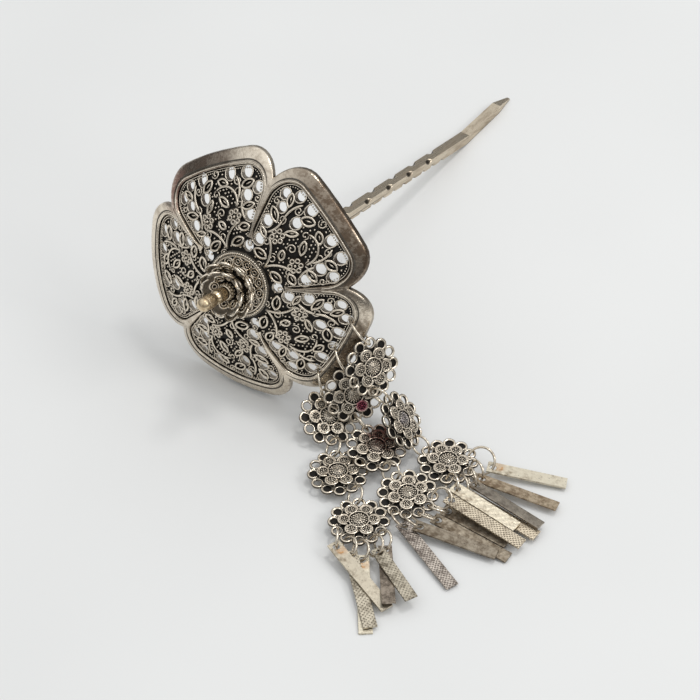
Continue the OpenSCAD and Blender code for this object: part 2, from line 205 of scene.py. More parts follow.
# A strip's ring leaves its disc's loop at a heading and a drop, and leans about them. From the ring's far
# side the strip goes its own way and drop, rolled about its length
Strip = namedtuple("Strip", "name disc loop ring_r heading drop lean way way_drop roll length face")
STRIPS = [
    Strip("a_a", 2, 8, 3.2, -32, 9, 45, -13, 4, 0, 17.2, "pitted"),
    Strip("a_b", 2, 7, LINK_R, -63, 9, 75, -24, 3, -10, 18.5, "bumpy"),
    Strip("a_c", 2, 6, LINK_R, -70, -5, 85, -37, 5, -15, 18, "smooth"),
    Strip("a_d", 2, 5, LINK_R, -68, 9, 75, -37, 3, 0, 19.2, "dotted"),
    Strip("a_e", 2, 4, LINK_R, -60, -14, 65, -37, 6, 0, 16.5, "sparkling"),
    Strip("b_a", 5, 8, LINK_R, -25, -10, 48, -37, 5, 0, 19.5, "knurled"),
    Strip("b_b", 5, 6, LINK_R, -21, 9, 135, -33, 4, 0, 18.5, "brown"),
    Strip("b_c", 5, 5, LINK_R, -50, 2, 135, -23, 3, 0, 18.5, "matt"),
    Strip("b_d", 5, 4, LINK_R, -60, 11, 135, -58, 3, 0, 19.5, "steel"),
    Strip("b_e", 5, 7, LINK_R, -4, 18, 140, -35, 1, 10, 16, "brown"),
    Strip("c_a", 8, 4, LINK_R, -93, -2, 85, -56, 4, 0, 20, "rusty"),
    Strip("c_b", 8, 5, LINK_R, -77, 9, 50, -78, 3, 0, 20, "fine"),
    Strip("c_c", 8, 6, LINK_R, -81, 16, 45, -88, 3.5, 0, 20, "pitted"),
    Strip("c_d", 8, 8, LINK_R, -77, 14, 45, -88, -5, 0, 16.5, "green"),
    Strip("c_e", 8, 7, LINK_R, -68, -2, 52, -63, -1, 0, 15, "fine"),
]

# Open holes of a petal: across, out, width, length
HOLES = [
    (-4.0, 24.7, 2.6, 3.2), (-8.0, 24.1, 2.5, 2.5), (-10.6, 21.7, 2.5, 2.5),
    (-8.5, 19.6, 2.5, 2.5), (-3.6, 20.5, 2.6, 2.9), (4.2, 24.5, 2.6, 3.1),
    (8.7, 23.8, 2.9, 2.9), (11.2, 19.9, 2.7, 2.7), (8.0, 18.9, 2.9, 2.9),
    (-8.0, 15.2, 2.9, 2.9), (8.1, 14.6, 2.9, 2.9), (-5.7, 11.3, 2.9, 2.9),
]
# Leaves of a petal: across, out, length, width, turn
LEAVES = [
    (-8.7, 22.1, 3.6, 1.9, -45), (-2.4, 23.0, 4.0, 2.3, 35), (2.1, 23.0, 3.5, 2.0, -25),
    (8.8, 21.4, 3.9, 2.2, 8), (-8.2, 17.6, 4.3, 2.0, -15), (8.2, 16.7, 3.9, 1.9, 0),
    (-6.4, 13.3, 3.4, 1.5, -10), (6.2, 12.5, 3.4, 2.1, -10), (-2.8, 9.9, 4.1, 2.3, 20),
    (3.7, 9.7, 4.0, 2.3, 10), (0.4, 14.0, 2.9, 1.8, -50), (-2.3, 18.6, 3.8, 1.6, 50),
    (1.9, 18.9, 3.9, 1.9, -50),
]
ROSETTES = [(-3.7, 15.6), (4.2, 15.2)]
# Stems of a petal, as arcs: across, out, radius, from, to
STEMS = [
    (2.0, 18.6, 3.6, -25, 125), (-6.0, 7.6, 6.4, 10, 80), (-10.5, 16.2, 5.1, -25, 25),
    (-1.4, 21.3, 5.3, 150, 215), (6.6, 7.6, 6.4, 100, 170), (11.6, 16.2, 5.1, 155, 205),
    (1.6, 21.3, 5.0, -35, 30),
]
# Thin curls of a petal: across, out, radius at the start, angle at the start, turns
CURLS = [
    (-6.2, 18.4, 1.3, 200, 1.2), (6.0, 20.4, 1.2, 20, -1.2), (-0.3, 11.6, 1.2, 90, 1.3),
    (-5.6, 22.4, 1.1, 60, -1.2), (0.0, 25.2, 1.1, 180, 1.2), (6.2, 22.6, 1.1, 120, 1.1),
    (-10.4, 19.4, 0.9, 90, 1.1), (10.6, 17.6, 0.9, 60, -1.1), (4.6, 12.7, 0.9, 30, 1.1),
    (0.6, 16.6, 1.2, 250, -1.2), (-0.2, 20.8, 1.0, 300, 1.1), (-4.2, 12.6, 1.0, 210, -1.2),
    (-1.0, 7.9, 0.9, 20, 1.1), (5.9, 17.6, 1.0, 140, 1.1), (-6.0, 9.0, 0.9, 60, 1.1),
]
# Stained or darkened places: where in the piece's own frame, how far they reach, their colour, and their
# share on bright metal and on tarnished metal
Spot = namedtuple("Spot", "at reach colour least most")
DISC_SPOTS = {
    "b1": [Spot((-2.8, -1.6, 1), 1.8, (0.55, 0.09, 0.18), 0.95, 0.95)],
    "b2": [Spot((1.8, -2.6, 0), 6.5, (0.13, 0.05, 0.04), 0.6, 0.95)],
    "a2": [Spot((0, 0, 1), 2.5, (0.25, 0.24, 0.34), 0.3, 0.6)],
}
# On the rim the spots are brown tarnish, and painted dark reflection: the darker upper and right-hand rims
# stand in for the dim room that they would mirror
RIM_TARNISH_AND_REFLECTIONS = [
    Spot((-20, 21, 2), 15, (0.19, 0.14, 0.11), 0.75, 0.95),
    Spot((19, 20, 2), 24, (0.15, 0.11, 0.078), 0.8, 1.0),
    Spot((-25, 13, 2), 7, (0.34, 0.19, 0.155), 0.3, 0.8),
    Spot((27, -9, 2), 13, (0.15, 0.112, 0.08), 0.65, 0.95),
]


# Places


def turn(axis, degrees):
    """Matrix that turns a column vector about one axis by the right-hand rule."""
    c = math.cos(math.radians(degrees))
    s = math.sin(math.radians(degrees))
    if axis == "x":
        return np.array([[1, 0, 0], [0, c, -s], [0, s, c]])
    if axis == "y":
        return np.array([[c, 0, s], [0, 1, 0], [-s, 0, c]])
    return np.array([[c, -s, 0], [s, c, 0], [0, 0, 1]])


class Place:
    """Where a piece's own frame is on the table: a turn and a point, in millimetres."""

    def __init__(self, turned, at):
        self.turned = turned
        self.at = np.array(at, dtype=float)

    def put(self, points):
        """Points of the piece's own frame, turned and then moved."""
        return np.asarray(points, dtype=float) @ self.turned.T + self.at

    def axis(self):
        """The piece's own z axis on the table."""
        return self.turned[:, 2]


def unit(v):
    """A vector's direction."""
    return np.asarray(v, dtype=float) / np.linalg.norm(v)


def heading_of(heading, drop):
    """Unit vector at a heading from +x, dropped below the level."""
    h = math.radians(heading)
    d = math.radians(drop)
    return np.array([math.cos(h) * math.cos(d), math.sin(h) * math.cos(d), -math.sin(d)])


def leaning(e, lean):
    """Direction square to e: beside it and level where lean is 0, over it where lean is 90."""
    beside = unit(np.cross([0, 0, 1], e))
    a = math.radians(lean)
    return math.cos(a) * beside + math.sin(a) * np.cross(e, beside)


def along(e, towards, at):
    """Place whose x axis is e and whose y axis is towards, as far as that is square to e."""
    y = unit(towards - np.dot(towards, e) * e)
    return Place(np.column_stack([e, y, np.cross(e, y)]), at)


def petal_turn(k):
    """Turn in degrees that takes a petal drawn along y to its place."""
    return FIRST_PETAL + 2 * RAY * k - 90


def dome_z(r):
    """Height of the flower's front, a ball's cap, at a distance r from its axis."""
    return DOME_TOP - DOME_R + np.sqrt(DOME_R ** 2 - np.square(r))


FLOWER = Place(turn("z", -32.4) @ turn("x", 90 - 18.8), (-22.4, -5.4, 29.8))


def hanger_ends(h):
    """The point where a hanger passes through the petal, and the point where it holds its disc."""
    petal = turn("z", petal_turn(LAST_PETAL))
    z = float(dome_z(math.hypot(h.across, h.out))) - HANGER_DEPTH
    start = FLOWER.put(petal @ np.array([h.across, h.out, z]))
    way = FLOWER.turned @ heading_of(90 - h.swing + petal_turn(LAST_PETAL), h.drop)
    return start, start + 2 * HANGER_R * way


def disc_place(d):
    """Where a disc lies: headed, tilted and spun, and hung by its first loop if it has no middle."""
    turned = turn("z", d.heading) @ turn("y", d.tilt) @ turn("z", d.spin)
    if d.middle is None:
        hanger = next(h for h in HANGERS if h.strand == d.name[0])
        return Place(turned, hanger_ends(hanger)[1] - turned @ np.array([LOOP_RING_R, 0, 0]))
    return Place(turned, d.middle)


DISC_PLACES = [disc_place(d) for d in DISCS]


def loop_point(disc, loop):
    """Middle of one of a disc's twelve loops."""
    a = math.radians(30 * loop)
    return DISC_PLACES[disc].put([LOOP_RING_R * math.cos(a), LOOP_RING_R * math.sin(a), 0])


def hanger_place(h):
    """Where a hanger lies: from petal to disc, its plane between the flower's and the disc's axes."""
    start, end = hanger_ends(h)
    first = [d.name for d in DISCS].index(h.strand + "1")
    return along(unit(end - start), FLOWER.axis() + DISC_PLACES[first].axis(), (start + end) / 2)


def link_place(k):
    """Where a link lies: from loop to loop, its plane set by its share or its lean."""
    start = loop_point(k.disc, k.loop)
    end = loop_point(k.next_disc, k.next_loop)
    e = unit(end - start)
    between = k.share * DISC_PLACES[k.disc].axis() + (1 - k.share) * DISC_PLACES[k.next_disc].axis()
    return along(e, between if k.share < 1 else leaning(e, k.share), (start + end) / 2)


def strip_ring_place(s):
    """Where a strip's ring lies: away from its loop by its own radius."""
    e = heading_of(s.heading, s.drop)
    return along(e, leaning(e, s.lean), loop_point(s.disc, s.loop) + s.ring_r * e)


def strip_place(s):
    """Where a strip lies: from the far side of its ring along its own way, rolled about its length."""
    e = heading_of(s.way, s.way_drop)
    hole = loop_point(s.disc, s.loop) + 2 * s.ring_r * heading_of(s.heading, s.drop)
    return along(e, leaning(e, s.roll), hole)


# Surfaces


class Shape:
    """Points, quads, triangles and end caps of closed surfaces, in millimetres."""

    def __init__(self, points, quads, tris=(), caps=()):
        self.points = np.asarray(points, dtype=float).reshape(-1, 3)
        self.quads = np.asarray(quads, dtype=int).reshape(-1, 4)
        self.tris = np.asarray(tris, dtype=int).reshape(-1, 3)
        self.caps = [list(map(int, c)) for c in caps]

    def moved(self, put):
        """The same surface with its points put elsewhere."""
        return Shape(put(self.points), self.quads, self.tris, self.caps)

    def shifted(self, *by):
        """The same surface moved by x, y and z."""
        return Shape(self.points + np.array(by, dtype=float), self.quads, self.tris, self.caps)


def lifted(flat, z):
    """Points of a plan at one height, or at a height each."""
    return np.column_stack([flat, np.broadcast_to(z, len(flat))])


def joined(shapes):
    """One shape of many: their points in a row, and their faces counted on from there."""
    starts = np.cumsum([0] + [len(s.points) for s in shapes])
    quads = np.concatenate([s.quads + n for s, n in zip(shapes, starts)])
    tris = np.concatenate([s.tris + n for s, n in zip(shapes, starts)])
    caps = [[int(i + n) for i in cap] for s, n in zip(shapes, starts) for cap in s.caps]
    return Shape(np.concatenate([s.points for s in shapes]), quads, tris, caps)


def grid_quads(rows, cols, closed=False):
    """Quads of rows of points: each row is a loop, and the last row meets the first where it is closed."""
    i, j = np.meshgrid(np.arange(rows if closed else rows - 1), np.arange(cols), indexing="ij")
    i = i.ravel()
    j = j.ravel()
    next_i = (i + 1) % rows
    next_j = (j + 1) % cols
    return np.column_stack([i * cols + j, i * cols + next_j, next_i * cols + next_j, next_i * cols + j])


def carried(points, closed=False):
    """Surface of an outline carried along a path, as rows of points, with a cap at each open end."""
    rows, cols = points.shape[:2]
    last = (rows - 1) * cols
    caps = () if closed else (list(range(cols)), list(range(last, last + cols))[::-1])
    return Shape(points, grid_quads(rows, cols, closed)[:, ::-1], (), caps)


def tube(path, radius, sides, closed=False):
    """Round wire: a circle carried square to a path, its first direction as near to z as that allows."""
    path = np.asarray(path, dtype=float)
    if closed:
        ahead = np.roll(path, -1, 0) - np.roll(path, 1, 0)
    else:
        ahead = np.gradient(path, axis=0)
    ahead /= np.linalg.norm(ahead, axis=1)[:, None]
    over = np.array([0.0, 0.0, 1.0]) - ahead[:, 2:] * ahead
    over /= np.linalg.norm(over, axis=1)[:, None]
    side = np.cross(ahead, over)
    a = np.linspace(0, 2 * math.pi, sides, endpoint=False)[None, :, None]
    r = np.broadcast_to(np.asarray(radius, dtype=float), len(path))[:, None, None]
    return carried(path[:, None] + r * (np.cos(a) * side[:, None] + np.sin(a) * over[:, None]), closed)


def tapered(count, radius):
    """Radius along a wire that thins to a third over the last seventh of its length at both ends."""
    thin = 0.35
    share = 0.15
    t = np.linspace(0, 1, count)
    return radius * (thin + (1 - thin) * np.clip(np.minimum(t, 1 - t) / share, 0, 1) ** 0.5)


def torus(r, wire, around, sides):
    """Ring about the z axis: a circle of the wire's radius at each angle."""
    return tube(lifted(on_circle(r, around), 0.0), wire, sides, True)


def revolved(profile, segments):
    """Closed shape of a profile (radius, height) turned about the z axis, where it starts and ends."""
    profile = np.asarray(profile, dtype=float)
    inner = profile[1:-1]
    a = np.linspace(0, 2 * math.pi, segments, endpoint=False)
    height = np.broadcast_to(inner[:, 1:], (len(inner), segments))
    ring = np.stack([inner[:, :1] * np.cos(a), inner[:, :1] * np.sin(a), height], axis=2).reshape(-1, 3)
    first = len(ring)
    last = first + 1
    points = np.concatenate([ring, [[0, 0, profile[0, 1]], [0, 0, profile[-1, 1]]]])
    i = np.arange(segments)
    next_i = (i + 1) % segments
    top = (len(inner) - 1) * segments
    tris = np.concatenate([
        np.column_stack([np.full(segments, first), next_i, i]),
        np.column_stack([np.full(segments, last), top + i, top + next_i]),
    ])
    return Shape(points, grid_quads(len(inner), segments), tris)


FROM_POLE = np.linspace(0, math.pi, 5)
BALL = revolved(np.column_stack([np.sin(FROM_POLE), -np.cos(FROM_POLE)]), 8)


def beads(centres, radius):
    """Small balls: one ball's points, scaled and moved to each centre."""
    centres = np.asarray(centres, dtype=float).reshape(-1, 3)
    radius = np.broadcast_to(np.asarray(radius, dtype=float), len(centres))
    points = centres[:, None] + radius[:, None, None] * BALL.points[None]
    starts = (np.arange(len(centres)) * len(BALL.points))[:, None, None]
    return Shape(points, BALL.quads[None] + starts, BALL.tris[None] + starts)


def on_circle(r, count, start=0.0):
    """Points at even angles on a circle."""
    a = math.radians(start) + np.linspace(0, 2 * math.pi, count, endpoint=False)
    return np.column_stack([r * np.cos(a), r * np.sin(a)])


def make_piece(name, shape, material, replaced=(), sharp=180):
    """Mesh object of a shape, with its place in its mesh, riding on the whole."""
    mesh = bpy.data.meshes.new(name)
    faces = shape.quads.tolist() + shape.tris.tolist() + shape.caps
    mesh.from_pydata(((shape.points - MIDDLE) * MM).tolist(), [], faces)
    mesh.update()
    mesh.shade_smooth()
    if sharp < 180:
        mesh.set_sharp_from_angle(angle=math.radians(sharp))
    mesh.materials.append(material)
    piece = bpy.data.objects.new(name, mesh)
    bpy.context.scene.collection.objects.link(piece)
    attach(piece, "root")
    if replaced:
        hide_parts(*replaced)
    return piece


def paint(node, material):
    """Gives a CAD node's slots a material."""
    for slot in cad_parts[node].material_slots:
        slot.material = material


# Node trees


class Wiring:
    """Adds nodes to a tree: a value is set on a socket, and a socket is linked to it."""

    def __init__(self, tree):
        self.tree = tree

    def add(self, kind, inputs=None, **settings):
        """Node of a kind, with its settings and then its inputs, by name or number."""
        node = self.tree.nodes.new(kind)
        for key, value in settings.items():
            setattr(node, key, value)
        for key, value in (inputs or {}).items():
            if isinstance(value, bpy.types.NodeSocket):
                self.tree.links.new(value, node.inputs[key])
            else:
                node.inputs[key].default_value = value
        return node

    def math(self, operation, a, b=0.0):
        """Result of an operation on one or two values."""
        return self.add("ShaderNodeMath", {0: a, 1: b}, operation=operation).outputs[0]

    def spread(self, value, low, high, to_low=0.0, to_high=1.0):
        """A value's smooth step from low to high, as a number between two others."""
        inputs = {"Value": value, "From Min": low, "From Max": high, "To Min": to_low, "To Max": to_high}
        return self.add("ShaderNodeMapRange", inputs, interpolation_type="SMOOTHSTEP").outputs["Result"]

    def mix(self, share, a, b):
        """Colour a where the share is 0 and b where it is 1."""
        return self.add("ShaderNodeMix", {0: share, 6: a, 7: b}, data_type="RGBA").outputs[2]

    def distance(self, vector, point):
        """Distance of a vector from a point."""
        node = self.add("ShaderNodeVectorMath", {0: vector, 1: point}, operation="DISTANCE")
        return node.outputs["Value"]

    def group(self, tree, inputs):
        """First output of a shared group, with this material's own values."""
        return self.add("ShaderNodeGroup", inputs, node_tree=tree).outputs[0]


def new_group(name, inputs, outputs):
    """Empty shader group with float or vector inputs and outputs, and its wiring."""
    tree = bpy.data.node_groups.new(name, "ShaderNodeTree")
    for label, kind, default in inputs:
        socket = tree.interface.new_socket(name=label, in_out="INPUT", socket_type=kind)
        if default is not None:
            socket.default_value = default
    for label, kind in outputs:
        tree.interface.new_socket(name=label, in_out="OUTPUT", socket_type=kind)
    wiring = Wiring(tree)
    return tree, wiring, wiring.add("NodeGroupInput"), wiring.add("NodeGroupOutput")


def tarnish_group():
    """Cloudy spots of tarnish: two sizes of noise, cut off between Low and High."""
    tree, w, start, end = new_group(
        "Tarnish",
        [("Vector", "NodeSocketVector", None), ("Scale", "NodeSocketFloat", 0.3),
         ("Low", "NodeSocketFloat", 0.45), ("High", "NodeSocketFloat", 0.65)],
        [("Mask", "NodeSocketFloat")])
    vector = start.outputs["Vector"]
    scale = start.outputs["Scale"]
    coarse = w.add("ShaderNodeTexNoise",
                   {"Vector": vector, "Scale": scale, "Detail": 4.0, "Roughness": 0.65})
    finer = w.math("MULTIPLY", scale, 4.3)
    fine = w.add("ShaderNodeTexNoise", {"Vector": vector, "Scale": finer, "Detail": 3.0})
    both = w.math("ADD", w.math("MULTIPLY", coarse.outputs["Fac"], 0.7),
                  w.math("MULTIPLY", fine.outputs["Fac"], 0.3))
    spread = w.spread(both, start.outputs["Low"], start.outputs["High"])
    w.tree.links.new(spread, end.inputs["Mask"])
    return tree


def surface_group():
    """Small unevenness of cast and worn metal, as a height: fine noise and a little pitting."""
    tree, w, start, end = new_group(
        "Cast surface", [("Vector", "NodeSocketVector", None), ("Scale", "NodeSocketFloat", 2.0)],
        [("Height", "NodeSocketFloat")])
    vector = start.outputs["Vector"]
    noise = w.add("ShaderNodeTexNoise", {"Vector": vector, "Scale": start.outputs["Scale"], "Detail": 5.0})
    pits = w.add("ShaderNodeTexVoronoi", {"Vector": vector, "Scale": start.outputs["Scale"]})
    pitted = w.spread(pits.outputs["Distance"], 0.0, 0.25, -0.35, 0.0)
    w.tree.links.new(w.math("ADD", noise.outputs["Fac"], pitted), end.inputs["Height"])
    return tree


def shared(name, build):
    """A shared group, built the first time that it is asked for."""
    return bpy.data.node_groups.get(name) or build()


def clouds(w, vector, scale, low, high):
    """Share of tarnish at a point, from 0 to 1."""
    inputs = {"Vector": vector, "Scale": scale, "Low": low, "High": high}
    return w.group(shared("Tarnish", tarnish_group), inputs)


def cast_surface(w, vector, scale):
    """Height of the metal's small unevenness at a point."""
    return w.group(shared("Cast surface", surface_group), {"Vector": vector, "Scale": scale})


def local_millimetres(w, place):
    """Object coordinates as millimetres of a piece's own frame."""
    rotation = Matrix(place.turned.tolist()).to_euler("XYZ")
    location = (place.at - MIDDLE) * MM
    coordinates = w.add("ShaderNodeTexCoord").outputs["Object"]
    return w.add("ShaderNodeMapping", {"Vector": coordinates, "Location": tuple(location),
                                       "Rotation": tuple(rotation), "Scale": (MM, MM, MM)},
                 vector_type="TEXTURE").outputs[0]


def new_material(name):
    """Empty material and its wiring."""
    material = bpy.data.materials.new(name)
    material.use_nodes = True
    material.node_tree.nodes.clear()
    return material, Wiring(material.node_tree)


def finish_metal(w, colour, roughness, height, bump, metallic=1.0):
    """Principled metal with a bump of so many metres."""
    normal = w.add("ShaderNodeBump", {"Height": height, "Distance": bump, "Strength": 1.0}).outputs[0]
    shader = w.add("ShaderNodeBsdfPrincipled", {"Base Color": colour, "Roughness": roughness,
                                                "Metallic": metallic, "Normal": normal})
    w.add("ShaderNodeOutputMaterial", {"Surface": shader.outputs[0]})


def rgba(colour):
    """A colour's three parts with a full fourth."""
    return (colour[0], colour[1], colour[2], 1.0)


def recess_and_contact_shade(w, distance):
    """0 in a narrow hollow and 1 in the open, from how much of the surroundings a point sees. It marks the
    black patina in the metal's hollows, and it also paints shade where a part lies close to another part or
    to the floor.
    """
    node = w.add("ShaderNodeAmbientOcclusion", {"Distance": distance}, samples=8)
    return w.spread(node.outputs["AO"], 0.3, 0.85)


def facing(w, place, low, high):
    """1 on what faces along the piece's own axis and 0 on what stands square to it."""
    normal = w.add("ShaderNodeNewGeometry").outputs["Normal"]
    dot = w.add("ShaderNodeVectorMath", {0: normal, 1: tuple(place.axis())}, operation="DOT_PRODUCT")
    return w.spread(dot.outputs["Value"], low, high)


def antique_metal(name, place, height, settings, warmth=0.0, spots=(), tarnished=0.5, narrow=1.2 * MM):
    """Silver with black patina: height(w, place, parts) is 1 on what was polished and 0 in the recesses.
    The patina's black is also painted shade where a part lies close to another part or to the floor, and
    deeper in the flower where the height paints shade.
    """
    material, w = new_material(name)
    vector = local_millimetres(w, place)
    parts = w.add("ShaderNodeSeparateXYZ", {"Vector": vector}).outputs
    # Polish times openness: the openness also paints shade near other parts and the floor
    polished = w.math("MULTIPLY", height(w, place, parts), recess_and_contact_shade(w, narrow))
    tarnish = clouds(w, vector, 0.35, 0.42, 0.64)
    silver = w.mix(w.math("MULTIPLY", tarnish, tarnished), rgba(settings.silver), rgba(settings.tarnish))
    # A spot is a stain, and on the rim also a painted dark reflection
    for spot in spots:
        near = w.spread(w.distance(vector, spot.at), spot.reach, 0.45 * spot.reach)
        share = w.math("MULTIPLY", near, w.spread(tarnish, 0.0, 0.7, spot.least, spot.most))
        silver = w.mix(share, silver, rgba(spot.colour))
    if warmth:
        silver = w.mix(warmth, silver, rgba(settings.brass))
    colour = w.mix(polished, rgba(settings.patina), silver)
    roughness = w.math("ADD", w.spread(polished, 0.0, 1.0, 0.5, 0.15), w.math("MULTIPLY", tarnish, 0.2))
    metallic = w.spread(polished, 0.0, 0.5, 0.55, 1.0)
    finish_metal(w, colour, roughness, cast_surface(w, vector, 2.2), 0.05 * MM, metallic)
    return material


def dome_height(w, place, parts):
    """Polished where the depth under the domed front is small, black on the sunk floor, grey behind."""
    x, y, z = parts["X"], parts["Y"], parts["Z"]
    squares = w.math("ADD", w.math("MULTIPLY", x, x), w.math("MULTIPLY", y, y))
    ball = w.math("SQRT", w.math("SUBTRACT", DOME_R ** 2, squares))
    depth = w.math("SUBTRACT", w.math("ADD", ball, DOME_TOP - DOME_R), z)
    front = w.spread(depth, 0.27, 0.09)
    back = w.spread(depth, 1.1, 1.5, 0.0, 0.6)
    wall = w.math("MULTIPLY", facing(w, place, 0.6, 0.2), 0.6)
    return w.math("MAXIMUM", wall, w.math("MAXIMUM", front, back))


def crown_height(w, place, parts):
    """Polished on the tops of wires and granules, black down their sides."""
    return facing(w, place, 0.15, 0.7)


def disc_height(w, place, parts):
    """Polished on the loops' wires, the petals' edges and the granules, grey on the back."""
    x, y, z = parts["X"], parts["Y"], parts["Z"]
    r = w.math("SQRT", w.math("ADD", w.math("MULTIPLY", x, x), w.math("MULTIPLY", y, y)))
    step = w.spread(r, 4.4, 4.7, 0.75, 0.12)
    front = w.spread(w.math("SUBTRACT", z, step), 0.0, 0.35)
    return w.math("MAXIMUM", front, w.spread(z, 0.0, -0.2, 0.0, 0.5))


def bowl_height(w, place, parts):
    """Mostly black: the bowls behind the loops of wire."""
    return w.spread(parts["Z"], 7.0, 12.0, 0.12, 0.3)


def depth_shade_height(w, place, parts):
    """Painted shade: darker the deeper it sits in the flower, and lighter the further it stands out of it.
    """
    return w.spread(parts["Z"], 5.5, 8.5, 0.8, 1.0)


# Settings


class HairStickSettings(bpy.types.PropertyGroup):
    """Sizes and colours of the finish."""

    relief_wire: bpy.props.FloatProperty(
        name="Relief wire", description="Radius of the wire round a leaf",
        default=0.31 * MM, min=0, unit="LENGTH")
    curl_wire: bpy.props.FloatProperty(
        name="Curl wire", description="Radius of the thin curls' wire",
        default=0.2 * MM, min=0, unit="LENGTH")
    rim_swell: bpy.props.FloatProperty(
        name="Rim swell", description="Rise of the rim's middle over its edges",
        default=0.34 * MM, min=0, unit="LENGTH")
    silver: bpy.props.FloatVectorProperty(
        name="Silver", description="Colour of polished metal",
        default=(0.86, 0.77, 0.64), subtype="COLOR")
    tarnish: bpy.props.FloatVectorProperty(
        name="Tarnish", description="Colour of tarnished metal",
        default=(0.36, 0.285, 0.21), subtype="COLOR")
    # The patina colour also serves as painted shade, near other parts, near the floor and deep in the
    # flower
    patina: bpy.props.FloatVectorProperty(
        name="Patina", description="Colour of the recesses",
        default=(0.014, 0.012, 0.010), subtype="COLOR")
    brass: bpy.props.FloatVectorProperty(
        name="Brass", description="Colour of the finial",
        default=(0.74, 0.61, 0.42), subtype="COLOR")
    wire: bpy.props.FloatVectorProperty(
        name="Ring wire", description="Colour of the rings",
        default=(0.78, 0.70, 0.58), subtype="COLOR")
    paper: bpy.props.FloatVectorProperty(
        name="Floor", description="Colour of the floor",
        default=(0.80, 0.805, 0.80), subtype="COLOR")
    lamp: bpy.props.FloatProperty(
        name="Lamp", description="Strength of the large soft lamp",
        default=2.2, min=0, unit="POWER")


# Flower


def line(a, b, count):
    """Points from a towards b, without b."""
    t = np.linspace(0, 1, count, endpoint=False)[:, None]
    return (1 - t) * np.asarray(a, dtype=float) + t * np.asarray(b, dtype=float)


def arc(centre, r, start, end, count, last=False):
    """Points on a circle between two angles."""
    a = np.radians(np.linspace(start, end, count, endpoint=last))
    return np.column_stack([centre[0] + r * np.cos(a), centre[1] + r * np.sin(a)])


def mirrored(side):
    """A petal's right side and then its mirror image, from foot to foot."""
    return np.concatenate([side, (side * [-1, 1])[-2::-1]])


def tip_pieces(reach, half, corner):
    """Centre of a petal's round corner, the angle where the tip's arc starts, and that arc's circle."""
    tip_r = 2 * reach
    x = half - corner
    y = reach - tip_r + math.sqrt((tip_r - corner) ** 2 - x ** 2)
    return (x, y), math.degrees(math.atan2(y - reach + tip_r, x)), (0, reach - tip_r), tip_r


def field_side(inset):
    """Right side of the sunk field's edge, moved inwards: a slant, two round corners and half the tip."""
    foot = FIELD_MEET * RAY_WAY
    bend = np.array([FIELD_HALF, (FIELD_HALF + FIELD_BEND) / math.tan(math.radians(RAY))])
    way = unit(bend - foot)
    inward = np.array([-way[1], way[0]])
    foot = foot + inset * inward
    corner = FIELD_CORNER - inset
    centre, angle, tip, tip_r = tip_pieces(FIELD_REACH - inset, FIELD_HALF - inset, corner)
    start = foot + corner * inward
    low = start + way * (centre[0] - start[0]) / way[0]
    slant = math.degrees(math.atan2(way[1], way[0])) - 90
    return np.concatenate([
        line(foot, low - corner * inward, RAY_POINTS),
        arc(low, corner, slant, 0, 4),
        arc(centre, corner, 0, angle, 12),
        arc(tip, tip_r, angle, 90, 9, last=True),
    ])


def outer_side():
    """Right side of a petal's edge: along the ray between two petals, then round the petal."""
    centre, angle, tip, tip_r = tip_pieces(PETAL_REACH, PETAL_HALF, PETAL_CORNER)
    notch = RAY_WAY * PETAL_HALF / RAY_WAY[0]
    return np.concatenate([
        line(FIELD_MEET * RAY_WAY, notch, RAY_POINTS),
        line(notch, (PETAL_HALF, centre[1]), 4),
        arc(centre, PETAL_CORNER, 0, angle, 12),
        arc(tip, tip_r, angle, 90, 9, last=True),
    ])


def petal_points(flat, depth, k):
    """Points over a petal's plan, at a depth under the domed front, turned to petal k."""
    flat = np.asarray(flat, dtype=float)
    z = dome_z(np.linalg.norm(flat, axis=1)) - depth
    return np.column_stack([flat, z]) @ turn("z", petal_turn(k)).T


def quarter_round(t):
    """Height of a quarter circle at a share of its width: 0 at 0, and 1 from 1 on."""
    return np.sqrt(1 - (1 - np.clip(t, 0, 1)) ** 2)


def rim_shape(k, swell):
    """Rim of a petal: a swelling band carried between the petal's edge and the field's edge.

    s runs across the band from 0 at the outer edge to 1 at the inner one. The band rises by the swell
    times two quarter circles, one from each edge. It rises less where it is narrow, and is a little
    hollow along its middle. Along a ray its outer edge stays full, as it meets the next petal's. Rows at
    s below 0 and above 1 are the band's two sides."""
    outer = mirrored(outer_side())
    inner = mirrored(field_side(0))
    count = len(outer)
    across = inner - outer
    width = np.linalg.norm(across, axis=1)
    ahead = np.gradient(outer, axis=0)
    square = np.column_stack([-ahead[:, 1], ahead[:, 0]])
    narrow = 0.3
    way = np.where(width[:, None] > narrow, across / np.maximum(width, narrow)[:, None],
                   square / np.linalg.norm(square, axis=1)[:, None])
    s = np.concatenate([[-1, -1], np.linspace(0, 1, 13), [2, 2]])
    inside = np.clip(s, 0, 1)
    from_start = np.arange(count)
    on_ray = np.minimum(from_start, from_start[::-1]) < RAY_POINTS
    full_width = 1.5
    outer_round = np.where(on_ray[:, None], 1.0, quarter_round(inside / RIM_OUTER_ROUND)[None])
    inner_round = quarter_round((1 - inside) / RIM_INNER_ROUND)[None]
    full = np.clip(width / full_width, 0, 1)[:, None]
    rise = RIM_LIFT + swell * outer_round * inner_round * full
    rise = rise - 0.1 * swell * np.sin(math.pi * inside)[None]
    rise[:, [1, -2]] = -RIM_SKIRT[0]
    rise[:, [0, -1]] = -RIM_SKIRT[1]
    stand_off = RIM_MARGIN * (np.where(s < 0, -1, 0) + np.where(s > 1, 1, 0))
    flat = outer[:, None] + inside[None, :, None] * across[:, None]
    flat = flat + stand_off[None, :, None] * way[:, None]
    points = petal_points(flat.reshape(-1, 2), -rise.reshape(-1), k)
    return carried(points.reshape(count, len(s), 3))


